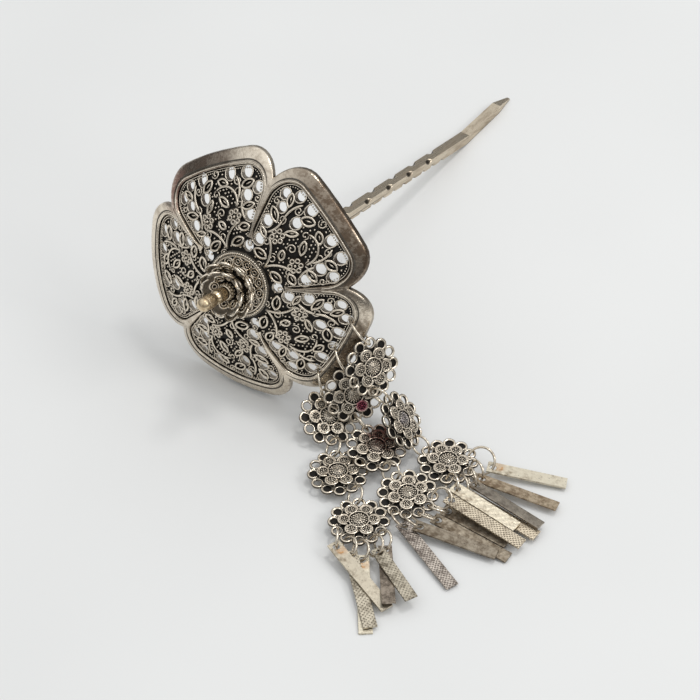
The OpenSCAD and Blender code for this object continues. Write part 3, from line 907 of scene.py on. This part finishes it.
def almond(length, width, count=9):
    """Closed outline of the part that two equal circles share."""
    r = (length ** 2 + width ** 2) / (4 * width)
    half = math.degrees(math.asin(length / 2 / r))
    upper = arc((0, width / 2 - r), r, 90 + half, 90 - half, count)
    return np.concatenate([upper, -upper])


def slot_outline(width, length, count=7):
    """Closed outline of a hole: two half circles, apart by what its length has over its width."""
    reach = (length - width) / 2
    upper = arc((0, reach), width / 2, 0, 180, count, last=True)
    return np.concatenate([upper, -upper]) if reach > 0 else arc((0, 0), width / 2, 0, 360, 2 * count)


def turned_2d(flat, degrees, at):
    """Points of a plan, turned and then moved."""
    return np.asarray(flat) @ turn("z", degrees)[:2, :2].T + np.asarray(at)


def curl(radius, start, turns):
    """Spiral whose radius falls to a third over its turns."""
    t = np.linspace(0, 1, CURL_POINTS)
    a = math.radians(start) + 2 * math.pi * turns * t
    r = radius * (1 - 0.68 * t)
    return np.column_stack([r * np.cos(a), r * np.sin(a)])


def evenly(path, step):
    """Points at even steps along a path."""
    run = np.concatenate([[0], np.cumsum(np.linalg.norm(np.diff(path, axis=0), axis=1))])
    at = np.linspace(0, run[-1], max(2, round(run[-1] / step)))
    return np.column_stack([np.interp(at, run, path[:, i]) for i in range(path.shape[1])])


def petal_wires(k, wire, thin):
    """Leaves, stems, rosettes and curls of a petal and the edges of its holes, as round wires.

    Each is a tube along an outline of the plan, lifted onto the dome."""
    shapes = []
    for across, out, width, length in HOLES:
        flat = slot_outline(width + HOLE_MARGIN, length + HOLE_MARGIN) + (across, out)
        shapes.append(tube(petal_points(flat, FLOOR_DEPTH, k), HOLE_WIRE, 5, True))
    for across, out, length, width, angle in LEAVES:
        inside = almond(length - LEAF_INSET[0], width - LEAF_INSET[1])
        flat = turned_2d(inside, angle, (across, out))
        shapes.append(tube(petal_points(flat, RELIEF_DEPTH, k), wire, 6, True))
        reach = VEIN_REACH * length
        vein = turned_2d([[-reach, 0], [0, 0], [reach, 0]], angle, (across, out))
        shapes.append(tube(petal_points(vein, FLOOR_DEPTH - 0.08, k), VEIN_WIRE, 6))
    for across, out, r, start, end in STEMS:
        flat = arc((across, out), r, start, end, STEM_POINTS, last=True)
        shapes.append(tube(petal_points(flat, RELIEF_DEPTH, k), tapered(STEM_POINTS, wire), 6))
    for rosette in ROSETTES:
        for middle in on_circle(ROSETTE_R, 6) + rosette:
            flat = arc(middle, ROSETTE_LOOP_R, 0, 360, 9)
            shapes.append(tube(petal_points(flat, RELIEF_DEPTH - 0.1, k), ROSETTE_WIRE, 5, True))
    for across, out, r, start, turns in CURLS:
        flat = curl(r, start, turns) + (across, out)
        shapes.append(tube(petal_points(flat, FLOOR_DEPTH - 0.06, k), tapered(CURL_POINTS, thin), 5))
    return shapes


def far_from(x, y, gap):
    """True at points that keep a gap from a petal's edge, holes, leaves, rosettes, stems and curls."""
    r = np.hypot(x, y)
    free = (np.abs(x) < FIELD_HALF - SEED_EDGE_GAP) & (r < FIELD_REACH - SEED_EDGE_GAP)
    free &= r > HUB_R + SEED_HUB_GAP
    free &= np.abs(x) * RAY_WAY[1] < y * RAY_WAY[0] - SEED_RAY_GAP
    for across, out, width, length in HOLES:
        past = np.maximum(np.abs(y - out) - (length - width) / 2, 0)
        free &= np.hypot(x - across, past) > width / 2 + gap + 0.2
    for across, out, length, width, angle in LEAVES:
        c = math.cos(math.radians(angle))
        s = math.sin(math.radians(angle))
        ahead = np.abs((x - across) * c + (y - out) * s)
        aside = (y - out) * c - (x - across) * s
        free &= np.hypot(np.maximum(ahead - length / 2 + width / 2, 0), aside) > width / 2 + gap
    rosette_reach = 2.0
    for across, out in ROSETTES:
        free &= np.hypot(x - across, y - out) > rosette_reach + gap
    past_end = 8
    for across, out, stem_r, start, end in STEMS:
        at = np.degrees(np.arctan2(y - out, x - across))
        at = np.where(at < start - past_end, at + 360, at)
        off_stem = np.abs(np.hypot(x - across, y - out) - stem_r) > 0.3 + gap
        free &= off_stem | (at > end + past_end)
    for across, out, curl_r, _, _ in CURLS:
        free &= np.hypot(x - across, y - out) > curl_r + gap
    return free


def seeds():
    """Points of a triangular grid over a petal that are free of its other ornament."""
    row_step = 0.866 * SEED_PITCH
    i, j = np.meshgrid(np.arange(-14, 15), np.arange(0, 32), indexing="ij")
    x = (SEED_PITCH * (i + 0.5 * (j % 2))).ravel()
    y = (row_step * j).ravel()
    free = far_from(x, y, SEED_GAP)
    return np.column_stack([x[free], y[free]])


def petal_beads(k):
    """Granules of a petal, with the thin wire between its rim and its milled border.

    They are the border, the rosettes' middles, the ends of the curls and the seeds."""
    border = evenly(mirrored(field_side(BORDER_INSET)), BORDER_STEP)
    ends = np.array([curl(r, start, turns)[-1] + (across, out) for across, out, r, start, turns in CURLS])
    edge = mirrored(field_side(0.42))
    return [
        beads(petal_points(border, RIM_H - 0.16, k), 0.23),
        beads(petal_points(ROSETTES, RIM_H - 0.58, k), 0.4),
        beads(petal_points(ends, RIM_H - 0.34, k), 0.3),
        beads(petal_points(seeds(), RIM_H - 0.12, k), 0.3),
        tube(petal_points(edge, FLOOR_DEPTH, k), 0.17, 6),
    ]


def rim_line(k, along_rim):
    """Wire that follows the field's edge, as far as it stays clear of the rays between the petals."""
    clear = 0.25
    flat = mirrored(field_side(-along_rim.outside))
    flat = flat[np.abs(flat[:, 0]) * RAY_WAY[1] < flat[:, 1] * RAY_WAY[0] - clear]
    return tube(petal_points(flat, along_rim.depth, k), tapered(len(flat), along_rim.wire), 6)


def on_dome(flat, depth):
    """Points of a plan at a depth under the domed front."""
    return lifted(flat, dome_z(np.linalg.norm(flat, axis=1)) - depth)


def hub_shapes():
    """Milled ring round the hub, a plain wire inside it, and the loops on the floor below the cups."""
    milled = on_circle(HUB_R - HUB_BAND / 2, 84)
    wire = on_circle(HUB_R - HUB_BAND - 0.1, 96)
    shapes = [beads(on_dome(milled, 0.22), 0.36), tube(on_dome(wire, 0.35), 0.22, 6, True)]
    for ring in HUB_RINGS:
        floor = float(dome_z(ring.out)) - RIM_H + 0.1
        for x, y in on_circle(ring.out, ring.count):
            shapes.append(torus(ring.r, 0.26, 18, 6).shifted(x, y, floor))
            shapes.append(torus(0.45 * ring.r, 0.17, 12, 5).shifted(x, y, floor))
    return shapes


class HAIRSTICK_OT_flower(bpy.types.Operator):
    """Adds the flower's swelling rim, its filigree wires and its milled beads"""

    bl_idname = "hairstick.flower"
    bl_label = "Flower"

    def execute(self, context):
        settings = context.scene.hair_stick
        # The rim's spots are tarnish, and painted dark reflection on the upper and right-hand rims
        silver = antique_metal("flower_silver", FLOWER, dome_height, settings, spots=RIM_TARNISH_AND_REFLECTIONS)
        wire = antique_metal("filigree_silver", FLOWER, crown_height, settings,
                             tarnished=0.2, narrow=0.4 * MM)
        paint("flower", silver)
        swell = settings.rim_swell / MM
        rims = joined([rim_shape(k, swell) for k in range(5)]).moved(FLOWER.put)
        make_piece("flower_rim", rims, silver, sharp=60)
        grooves = joined([rim_line(k, RIM_GROOVE) for k in range(5)]).moved(FLOWER.put)
        patina = antique_metal("groove_patina", FLOWER, bowl_height, settings)
        make_piece("rim_groove", grooves, patina)
        wires = []
        grains = hub_shapes()
        for k in range(5):
            wires.append(rim_line(k, RIM_WIRE))
            wires += petal_wires(k, settings.relief_wire / MM, settings.curl_wire / MM)
            grains += petal_beads(k)
        make_piece("flower_filigree", joined(wires).moved(FLOWER.put), wire)
        make_piece("flower_milling", joined(grains).moved(FLOWER.put), wire)
        return {"FINISHED"}


# Cups, collar and finial


def cup_loops(row):
    """Wire loops that lie on a bowl's ball, with a smaller one in each and a granule between each two."""
    shapes = []
    tilt = math.degrees(math.asin(row.ring_r / row.ball_r))
    pole = np.array([0, 0, row.ball_r])
    centre = np.array([0, 0, row.centre_z])
    for i in range(row.loops):
        turned = turn("z", 360 * i / row.loops) @ turn("y", 180 - tilt)
        place = Place(turned, turned @ pole + centre)
        inner = Place(turned, place.put([0, 0, -0.3]))
        shapes.append(torus(row.loop_r, row.wire, 20, 6).moved(place.put))
        shapes.append(torus(0.5 * row.loop_r, 0.5 * row.wire, 14, 5).moved(inner.put))
        between = turn("z", 360 * (i + 0.5) / row.loops) @ turn("y", 180 - 1.12 * tilt)
        shapes.append(beads([between @ pole + centre], 0.42))
    return shapes


def cup_edge(edge):
    """Wire along a bowl's scalloped edge: the outer arc of each lobe's circle, lifted onto the ball."""
    lobe = arc((edge.lobe_at, 0), edge.lobe_r, -105, 105, 17, last=True)
    z = edge.centre_z - np.sqrt(edge.ball_r ** 2 - np.sum(lobe ** 2, 1))
    turns = [360 * i / edge.lobes for i in range(edge.lobes)]
    return [tube(lifted(turned_2d(lobe, angle, (0, 0)), z), edge.wire, 6) for angle in turns]


def finial_profile():
    """Radius and height of the finial: two barrels, a groove and a domed end with a small boss.

    A barrel's radius falls with the square of the distance from its middle, and steeply at its ends. The
    domed end is an arc a little lower than it is wide."""
    t = np.linspace(-1, 1, 13)
    radius = BARREL_R - 0.16 * t ** 2 - 0.3 * t ** 8
    barrels = [np.column_stack([radius, (i + 0.5) * BARREL + 0.46 * BARREL * t]) for i in range(2)]
    a = np.radians(np.linspace(-12, 78, 9))
    dome = np.column_stack([1.7 * np.cos(a), DOMED_END_Z + 1.45 * np.sin(a)])
    foot = [(0, 0), (1.2, 0)]
    boss = [(0.2, 9.84), (0, 9.78)]
    return np.concatenate([foot, *barrels, dome, boss])


def collar_shapes():
    """Two rows of granules, the second half a step on, a ring between them and a ring over them."""
    lower = on_circle(COLLAR_R, COLLAR_GRANULES)
    upper = on_circle(COLLAR_R, COLLAR_GRANULES, 180 / COLLAR_GRANULES)
    return [
        beads(lifted(lower, COLLAR_Z + 0.5), 0.42),
        beads(lifted(upper, COLLAR_Z + 1.5), 0.42),
        torus(1.72, 0.24, 32, 8).shifted(0, 0, COLLAR_Z + 1.0),
        torus(1.62, 0.3, 32, 8).shifted(0, 0, COLLAR_Z + 2.07),
    ]


class HAIRSTICK_OT_centre(bpy.types.Operator):
    """Adds the looped cups, the granulated collar and the turned finial"""

    bl_idname = "hairstick.centre"
    bl_label = "Cups and finial"

    def execute(self, context):
        settings = context.scene.hair_stick
        # The cups' loops carry painted shade: darker the deeper they sit in the flower
        silver = antique_metal("cup_silver", FLOWER, depth_shade_height, settings, tarnished=0.15, narrow=0.3 * MM)
        black = antique_metal("bowl_patina", FLOWER, bowl_height, settings)
        for node in ("lower_cup", "upper_cup"):
            paint(node, black)
        loops = []
        for edge in CUP_EDGES:
            loops += cup_edge(edge)
        for row in CUP_ROWS:
            loops += cup_loops(row)
        make_piece("cup_loops", joined(loops).moved(FLOWER.put), silver)
        # The collar's material paints shade in the same way where it sits deep in the flower
        bright = antique_metal("collar_silver", FLOWER, depth_shade_height, settings, warmth=0.35)
        paint("collar", bright)
        make_piece("collar_granules", joined(collar_shapes()).moved(FLOWER.put), bright)
        brass = self.brass(settings)
        body = revolved(finial_profile(), 56).shifted(0, 0, FINIAL_Z).moved(FLOWER.put)
        make_piece("turned_finial", body, brass, ("finial",), sharp=50)
        return {"FINISHED"}

    def brass(self, settings):
        """Aged brass: brown tarnish in clouds, and a dark brown in the groove and where the finial lies
        close to other parts, which is patina and also painted shade.
        """
        material, w = new_material("aged_brass")
        vector = local_millimetres(w, FLOWER)
        tarnish = clouds(w, vector, 0.45, 0.4, 0.68)
        worn = w.mix(w.math("MULTIPLY", tarnish, 0.7), rgba(settings.brass), (0.34, 0.21, 0.10, 1))
        # Dark brown where the surroundings are near: patina in the groove, and painted shade by the collar
        # and the flower
        colour = w.mix(recess_and_contact_shade(w, 1.5 * MM), (0.06, 0.04, 0.025, 1), worn)
        roughness = w.spread(tarnish, 0.0, 1.0, 0.24, 0.42)
        finish_metal(w, colour, roughness, cast_surface(w, vector, 1.6), 0.04 * MM)
        return material


# Pin


def shaft_place():
    """Where the square shaft starts behind the flower, with its x axis towards the bend, and its length."""
    start = FLOWER.put([0, 0, SHOULDER_Z])
    run = np.array(PIN_BEND) - start
    length = float(np.linalg.norm(run))
    pitch = math.degrees(math.asin(-run[2] / length))
    heading = math.degrees(math.atan2(run[1], run[0]))
    return Place(turn("z", heading) @ turn("y", pitch), start), length


class HAIRSTICK_OT_pin(bpy.types.Operator):
    """Gives the crimped pin its worn silver, black in the crimps and brownish on the flats"""

    bl_idname = "hairstick.pin"
    bl_label = "Pin"

    def execute(self, context):
        settings = context.scene.hair_stick
        material, w = new_material("pin_silver")
        place, length = shaft_place()
        vector = local_millimetres(w, place)
        drawn = w.add("ShaderNodeMapping", {"Vector": vector, "Scale": (0.12, 1.0, 1.0)}).outputs[0]
        tarnish = clouds(w, drawn, 0.7, 0.42, 0.66)
        worn = w.mix(w.math("MULTIPLY", tarnish, 0.7), (0.68, 0.59, 0.46, 1), (0.30, 0.225, 0.155, 1))
        open_face = w.math("MAXIMUM", self.flat(w, vector, length), 0.1)
        # Black in the crimps, and painted shade where the pin lies close to the floor or to other parts
        colour = w.mix(w.math("MULTIPLY", open_face, recess_and_contact_shade(w, 0.9 * MM)), (0.03, 0.024, 0.019, 1), worn)
        roughness = w.spread(tarnish, 0.0, 1.0, 0.26, 0.46)
        finish_metal(w, colour, roughness, cast_surface(w, drawn, 3.0), 0.05 * MM)
        paint("pin", material)
        return {"FINISHED"}

    def flat(self, w, vector, length):
        """0 in the crimps, which lie under the shaft's square faces, and 1 on the faces and past the bend.

        A groove runs along the side faces, as far as the crimps do."""
        parts = w.add("ShaderNodeSeparateXYZ", {"Vector": vector}).outputs
        outermost = w.math("MAXIMUM", w.math("ABSOLUTE", parts["Y"]), w.math("ABSOLUTE", parts["Z"]))
        face = w.spread(outermost, 0.41 * PIN_W, 0.496 * PIN_W)
        face = w.math("MAXIMUM", face, w.spread(parts["X"], length - 1.0, length))
        groove = w.spread(w.math("ABSOLUTE", w.math("ADD", parts["Z"], 0.35)), 0.05, 0.13)
        past = w.spread(parts["X"], 0.55 * length, 0.62 * length)
        return w.math("MULTIPLY", face, w.math("MAXIMUM", groove, past))


# Discs


def outer_rim(centre, rim):
    """Wire on the part of a circle that faces away from the disc's middle, thinner at both ends."""
    out = math.degrees(math.atan2(centre[1], centre[0]))
    flat = arc(centre, rim.r, out - rim.half_angle, out + rim.half_angle, rim.count, last=True)
    return tube(lifted(flat, rim.z), tapered(rim.count, rim.wire), 6)


def disc_shape():
    """Wires and granules of a disc: rims of the loops, of the six petals and of the dome."""
    shapes = []
    for x, y in on_circle(LOOP_RING_R, 12):
        shapes.append(outer_rim((x, y), LOOP_RIM))
        shapes.append(torus(1.1, 0.15, 14, 5).shifted(x, y, 0.2))
    for x, y in on_circle(PETAL_RING_R, 6, 30):
        shapes.append(outer_rim((x, y), PETAL_RIM))
        for ring in PETAL_GRANULES:
            row = lifted(on_circle(ring.r, ring.count), PETAL_Z + ring.rise)
            shapes.append(beads(row, ring.size).shifted(x, y, 0))
        shapes.append(beads([[x, y, PETAL_Z]], 0.24))
    shapes.append(beads(lifted(on_circle(4.35, 12, 15), 0.3), 0.26))
    shapes.append(torus(2.3, 0.2, 36, 6).shifted(0, 0, 0.95))
    for ring in DOME_GRANULES:
        z = DOME_BALL_Z + math.sqrt(DOME_BALL_R ** 2 - ring.r ** 2) + ring.rise
        shapes.append(beads(lifted(on_circle(ring.r, ring.count, 9 * ring.count), z), ring.size))
    shapes.append(beads([[0, 0, DOME_BALL_Z + 2.5]], 0.22))
    return joined(shapes)


class HAIRSTICK_OT_discs(bpy.types.Operator):
    """Adds the wires and granules of the nine discs, each with its own patina"""

    bl_idname = "hairstick.discs"
    bl_label = "Discs"

    def execute(self, context):
        settings = context.scene.hair_stick
        shape = disc_shape()
        for disc, place in zip(DISCS, DISC_PLACES):
            spots = DISC_SPOTS.get(disc.name, ())
            silver = antique_metal(f"disc_silver_{disc.name}", place, disc_height, settings, spots=spots)
            wire = antique_metal(f"disc_wire_{disc.name}", place, crown_height, settings, spots=spots,
                                 tarnished=0.3, narrow=0.4 * MM)
            paint(f"disc_{disc.name}", silver)
            make_piece(f"disc_wires_{disc.name}", shape.moved(place.put), wire)
        return {"FINISHED"}


# Rings


class HAIRSTICK_OT_rings(bpy.types.Operator):
    """Replaces the rings by smooth round wire"""

    bl_idname = "hairstick.rings"
    bl_label = "Rings"

    def execute(self, context):
        settings = context.scene.hair_stick
        wire = self.wire(settings)
        for hanger in HANGERS:
            self.ring(f"hanger_{hanger.strand}", [(HANGER_R, hanger_place(hanger))], wire)
        for link in LINKS:
            self.ring(f"link_{link.name}", [(LINK_R, link_place(link))], wire)
        for strand in "abc":
            rings = [(s.ring_r, strip_ring_place(s)) for s in STRIPS if s.name[0] == strand]
            self.ring(f"strip_rings_{strand}", rings, wire)
        return {"FINISHED"}

    def ring(self, node, rings, wire):
        """Puts smooth rings in the place of a node's."""
        shape = joined([torus(r, WIRE_R, 56, 12).moved(place.put) for r, place in rings])
        make_piece(node + "_wire", shape, wire, (node,))

    def wire(self, settings):
        """Pale wire with brownish tarnish in short stretches."""
        material, w = new_material("ring_wire")
        vector = local_millimetres(w, Place(np.eye(3), MIDDLE))
        tarnish = clouds(w, vector, 0.3, 0.45, 0.66)
        colour = w.mix(w.math("MULTIPLY", tarnish, 0.7), rgba(settings.wire), (0.30, 0.24, 0.18, 1))
        roughness = w.spread(tarnish, 0.0, 1.0, 0.2, 0.42)
        finish_metal(w, colour, roughness, cast_surface(w, vector, 2.0), 0.02 * MM)
        return material


# Strips

# Finish of a strip's face: light and dark colour, where its tarnish starts and is full, roughness, pattern
Face = namedtuple("Face", "light dark low high roughness pattern")
FACES = {
    "pitted": Face((0.72, 0.66, 0.53), (0.33, 0.27, 0.19), 0.46, 0.72, 0.36, "pits"),
    "bumpy": Face((0.63, 0.52, 0.38), (0.26, 0.19, 0.125), 0.38, 0.62, 0.42, "bumps"),
    "smooth": Face((0.51, 0.45, 0.37), (0.20, 0.17, 0.14), 0.40, 0.66, 0.27, "drawn"),
    "dotted": Face((0.73, 0.63, 0.48), (0.22, 0.17, 0.12), 0.45, 0.70, 0.36, "dots"),
    "sparkling": Face((0.78, 0.70, 0.55), (0.31, 0.25, 0.18), 0.46, 0.70, 0.3, "bumps"),
    "knurled": Face((0.71, 0.62, 0.48), (0.24, 0.19, 0.14), 0.46, 0.70, 0.36, "knurl"),
    "brown": Face((0.42, 0.36, 0.28), (0.17, 0.13, 0.09), 0.38, 0.64, 0.46, "bumps"),
    "matt": Face((0.39, 0.34, 0.27), (0.18, 0.14, 0.10), 0.36, 0.66, 0.5, "pits"),
    "steel": Face((0.63, 0.56, 0.49), (0.18, 0.15, 0.13), 0.40, 0.64, 0.3, "knurl"),
    "rusty": Face((0.60, 0.54, 0.43), (0.27, 0.22, 0.16), 0.46, 0.72, 0.38, "pits"),
    "fine": Face((0.61, 0.55, 0.44), (0.21, 0.18, 0.135), 0.42, 0.66, 0.38, "dots"),
    "green": Face((0.45, 0.38, 0.31), (0.14, 0.115, 0.09), 0.38, 0.62, 0.4, "bumps"),
}
# Where the face starts past the hole's middle, and the step along it
STRIP_START = 1.15
STEP = 0.15
# Height of a face's relief, and the waves of its diamonds and dots in radians to the millimetre
FACE_RELIEF = 0.03
KNURL = 3.7
DOTS = 6.5
RUST_AT = (1.6, 0.6, 0)


def face_relief(pattern, x, y):
    """Height of a strip's face in millimetres, as products of waves: diamonds, dots, soft bumps or pits.

    A drawn face is an arc across the strip."""
    if pattern == "knurl":
        sunk = np.abs(np.cos(KNURL * (x + y)) * np.cos(KNURL * (x - y))) ** 2
        return FACE_RELIEF - FACE_RELIEF * sunk
    if pattern == "dots":
        sunk = np.clip(np.cos(DOTS * x) * np.cos(DOTS * y), 0, 1) ** 2
        return FACE_RELIEF - FACE_RELIEF * sunk
    if pattern == "bumps":
        return 0.02 * (1 + np.sin(3.1 * x + 1.3 * np.sin(2.3 * y)) * np.sin(4.4 * y + np.sin(1.7 * x)))
    if pattern == "pits":
        sunk = np.clip(np.sin(2.2 * x + y) * np.sin(3.7 * y - 0.8 * x), 0, 1) ** 4
        return FACE_RELIEF - FACE_RELIEF * sunk
    return FACE_RELIEF * np.sqrt(np.clip(1 - (y / (STRIP_W / 2)) ** 2, 0, 1))


def strip_shape(strip):
    """Strip past its hole: an oblong with cut corners carried along it, with relief on both broad sides.

    A point of a broad side stands half of the thickness plus the relief from the strip's middle. The far
    end is a little uneven."""
    half_w = STRIP_W / 2 + 0.03
    half_t = STRIP_T / 2 + 0.015
    cut = 0.06
    y = np.linspace(half_w - cut, cut - half_w, 16)
    profile = np.concatenate([
        lifted(y, half_t), [[-half_w, half_t - cut], [-half_w, cut - half_t]],
        lifted(-y, -half_t), [[half_w, cut - half_t], [half_w, half_t - cut]],
    ])
    x = np.append(np.arange(STRIP_START, strip.length + 0.03, STEP), strip.length + 0.04)
    rows = len(x)
    cols = len(profile)
    along_x = np.repeat(x[:, None], cols, 1)
    across_y = np.repeat(profile[None, :, 0], rows, 0)
    up_z = np.repeat(profile[None, :, 1], rows, 0)
    broad = np.abs(up_z) > half_t - 0.01
    relief = face_relief(FACES[strip.face].pattern, along_x + 3.7 * (up_z < 0), across_y)
    up_z = up_z + np.sign(up_z) * relief * broad
    along_x = along_x + 0.05 * np.sin(1.9 * across_y + 3) * (along_x > strip.length - 0.3)
    return carried(np.stack([along_x, across_y, up_z], axis=2))


def hollows(w, pattern, x, y):
    """1 in the hollows of a face with diamonds or dots, where its relief has them."""
    if pattern == "knurl":
        first = w.math("COSINE", w.math("MULTIPLY", w.math("ADD", x, y), KNURL))
        second = w.math("COSINE", w.math("MULTIPLY", w.math("SUBTRACT", x, y), KNURL))
        return w.spread(w.math("ABSOLUTE", w.math("MULTIPLY", first, second)), 0.35, 0.8)
    first = w.math("COSINE", w.math("MULTIPLY", x, DOTS))
    second = w.math("COSINE", w.math("MULTIPLY", y, DOTS))
    return w.spread(w.math("MULTIPLY", first, second), 0.3, 0.9)


def strip_metal(strip, settings):
    """Worn strip: clouds of tarnish, specks, black hollows, and rust by the hole of some."""
    face = FACES[strip.face]
    material, w = new_material(f"strip_metal_{strip.name}")
    vector = local_millimetres(w, strip_place(strip))
    tarnish = clouds(w, vector, 0.38, face.low, face.high)
    colour = w.mix(tarnish, rgba(face.light), rgba(face.dark))
    cells = w.add("ShaderNodeTexVoronoi", {"Vector": vector, "Scale": 1.1}).outputs["Distance"]
    specks = w.math("MULTIPLY", w.spread(cells, 0.16, 0.06), 0.75)
    colour = w.mix(specks, colour, rgba(settings.patina))
    height = cast_surface(w, vector, 3.5)
    if face.pattern in ("knurl", "dots"):
        parts = w.add("ShaderNodeSeparateXYZ", {"Vector": vector}).outputs
        hollow = hollows(w, face.pattern, parts["X"], parts["Y"])
        deep = rgba([0.6 * c for c in face.dark])
        colour = w.mix(w.math("MULTIPLY", hollow, 0.7), colour, deep)
        height = w.math("SUBTRACT", height, w.math("MULTIPLY", hollow, 1.2))
    if strip.face in ("rusty", "pitted"):
        near = w.spread(w.distance(vector, RUST_AT), 1.8, 0.4)
        rust = w.math("MULTIPLY", near, w.spread(tarnish, 0.0, 0.4, 0.35, 0.9))
        colour = w.mix(rust, colour, (0.50, 0.22, 0.05, 1))
    roughness = w.math("ADD", w.math("MULTIPLY", tarnish, 0.16), face.roughness)
    finish_metal(w, colour, roughness, height, 0.05 * MM)
    return material


class HAIRSTICK_OT_strips(bpy.types.Operator):
    """Adds the fifteen strips' worn faces, each with its own pattern and colour"""

    bl_idname = "hairstick.strips"
    bl_label = "Strips"

    def execute(self, context):
        settings = context.scene.hair_stick
        for strip in STRIPS:
            metal = strip_metal(strip, settings)
            paint(f"strip_{strip.name}", metal)
            shape = strip_shape(strip).moved(strip_place(strip).put)
            make_piece(f"strip_face_{strip.name}", shape, metal, sharp=35)
        return {"FINISHED"}


# Stage


class HAIRSTICK_OT_stage(bpy.types.Operator):
    """Adds the pale floor, the soft light and the camera at the photograph's angle"""

    bl_idname = "hairstick.stage"
    bl_label = "Stage"

    def execute(self, context):
        settings = context.scene.hair_stick
        context.scene.view_settings.view_transform = "Standard"
        self.floor(settings)
        self.world()
        self.lamp("large_soft_lamp", (0.75, -0.3, 0.75), 0.42, settings.lamp)
        self.lamp("high_lamp", (0.25, 0.12, 1.0), 0.2, 0.8 * settings.lamp)
        self.camera()
        return {"FINISHED"}

    def floor(self, settings):
        """Wide pale sheet with a faint unevenness of tone."""
        reach = 1.5
        mesh = bpy.data.meshes.new("floor")
        mesh.from_pydata([(-reach, -reach, 0), (reach, -reach, 0), (reach, reach, 0), (-reach, reach, 0)],
                         [], [(0, 1, 2, 3)])
        material, w = new_material("pale_paper")
        coordinates = w.add("ShaderNodeTexCoord").outputs["Object"]
        noise = w.add("ShaderNodeTexNoise", {"Vector": coordinates, "Scale": 9.0, "Detail": 2.0})
        darker = [0.965 * c for c in settings.paper]
        colour = w.mix(w.spread(noise.outputs["Fac"], 0.3, 0.7), rgba(settings.paper), rgba(darker))
        shader = w.add("ShaderNodeBsdfPrincipled", {"Base Color": colour, "Roughness": 0.75,
                                                    "Specular IOR Level": 0.2})
        w.add("ShaderNodeOutputMaterial", {"Surface": shader.outputs[0]})
        mesh.materials.append(material)
        floor = bpy.data.objects.new("floor", mesh)
        bpy.context.scene.collection.objects.link(floor)

    def world(self):
        """Room that is brightest overhead and dim towards the horizon."""
        world = bpy.data.worlds.new("soft_room")
        world.use_nodes = True
        world.node_tree.nodes.clear()
        w = Wiring(world.node_tree)
        direction = w.add("ShaderNodeTexCoord").outputs["Generated"]
        rise = w.add("ShaderNodeSeparateXYZ", {"Vector": direction}).outputs["Z"]
        strength = w.spread(rise, 0.0, 0.9, 0.12, 0.98)
        light = w.add("ShaderNodeBackground", {"Color": (0.985, 0.995, 1.0, 1), "Strength": strength})
        w.add("ShaderNodeOutputWorld", {"Surface": light.outputs[0]})
        bpy.context.scene.world = world

    def lamp(self, name, at, size, power):
        """Round lamp, faintly warm, that looks at the middle of the floor."""
        lamp = bpy.data.lights.new(name, "AREA")
        lamp.shape = "DISK"
        lamp.size = size
        lamp.energy = power
        lamp.color = (1.0, 0.99, 0.975)
        lamp_object = bpy.data.objects.new(name, lamp)
        back = unit(np.array(at, dtype=float))
        side = unit(np.cross([0, 0, 1], back))
        turned = np.column_stack([side, np.cross(back, side), back])
        lamp_object.matrix_world = Matrix.Translation(at) @ Matrix(turned.tolist()).to_4x4()
        bpy.context.scene.collection.objects.link(lamp_object)

    def camera(self):
        """Camera at the photograph's angle, level and facing along y."""
        camera = bpy.data.cameras.new("photo_camera")
        camera.lens = CAMERA_LENS
        camera.sensor_width = SENSOR
        camera.clip_start = 0.01
        a = math.radians(CAMERA_ELEVATION)
        camera_object = bpy.data.objects.new("photo_camera", camera)
        target = -MIDDLE
        at = target + CAMERA_DISTANCE * np.array([0, -math.cos(a), math.sin(a)])
        camera_object.location = tuple(at * MM)
        camera_object.rotation_euler = (math.pi / 2 - a, 0, 0)
        bpy.context.scene.collection.objects.link(camera_object)
        bpy.context.scene.camera = camera_object


class HAIRSTICK_PT_panel(bpy.types.Panel):
    """The steps that build the looks, in order"""

    bl_idname = "HAIRSTICK_PT_panel"
    bl_label = "Hair stick"
    bl_space_type = "VIEW_3D"
    bl_region_type = "UI"
    bl_category = "Hair stick"

    def draw(self, context):
        for step in STEPS:
            self.layout.operator(step.bl_idname)
        for name in HairStickSettings.__annotations__:
            self.layout.prop(context.scene.hair_stick, name)


STEPS = (HAIRSTICK_OT_stage, HAIRSTICK_OT_flower, HAIRSTICK_OT_centre, HAIRSTICK_OT_pin, HAIRSTICK_OT_discs,
         HAIRSTICK_OT_rings, HAIRSTICK_OT_strips)
CLASSES = (HairStickSettings,) + STEPS + (HAIRSTICK_PT_panel,)


def register():
    """Makes the settings, the steps and the panel known."""
    for cls in CLASSES:
        bpy.utils.register_class(cls)
    bpy.types.Scene.hair_stick = bpy.props.PointerProperty(type=HairStickSettings)


def unregister():
    """Takes them away again."""
    del bpy.types.Scene.hair_stick
    for cls in reversed(CLASSES):
        bpy.utils.unregister_class(cls)


def main():
    """Runs the steps in order."""
    register()
    bpy.ops.hairstick.stage()
    bpy.ops.hairstick.flower()
    bpy.ops.hairstick.centre()
    bpy.ops.hairstick.pin()
    bpy.ops.hairstick.discs()
    bpy.ops.hairstick.rings()
    bpy.ops.hairstick.strips()


if __name__ == "__main__":
    main()
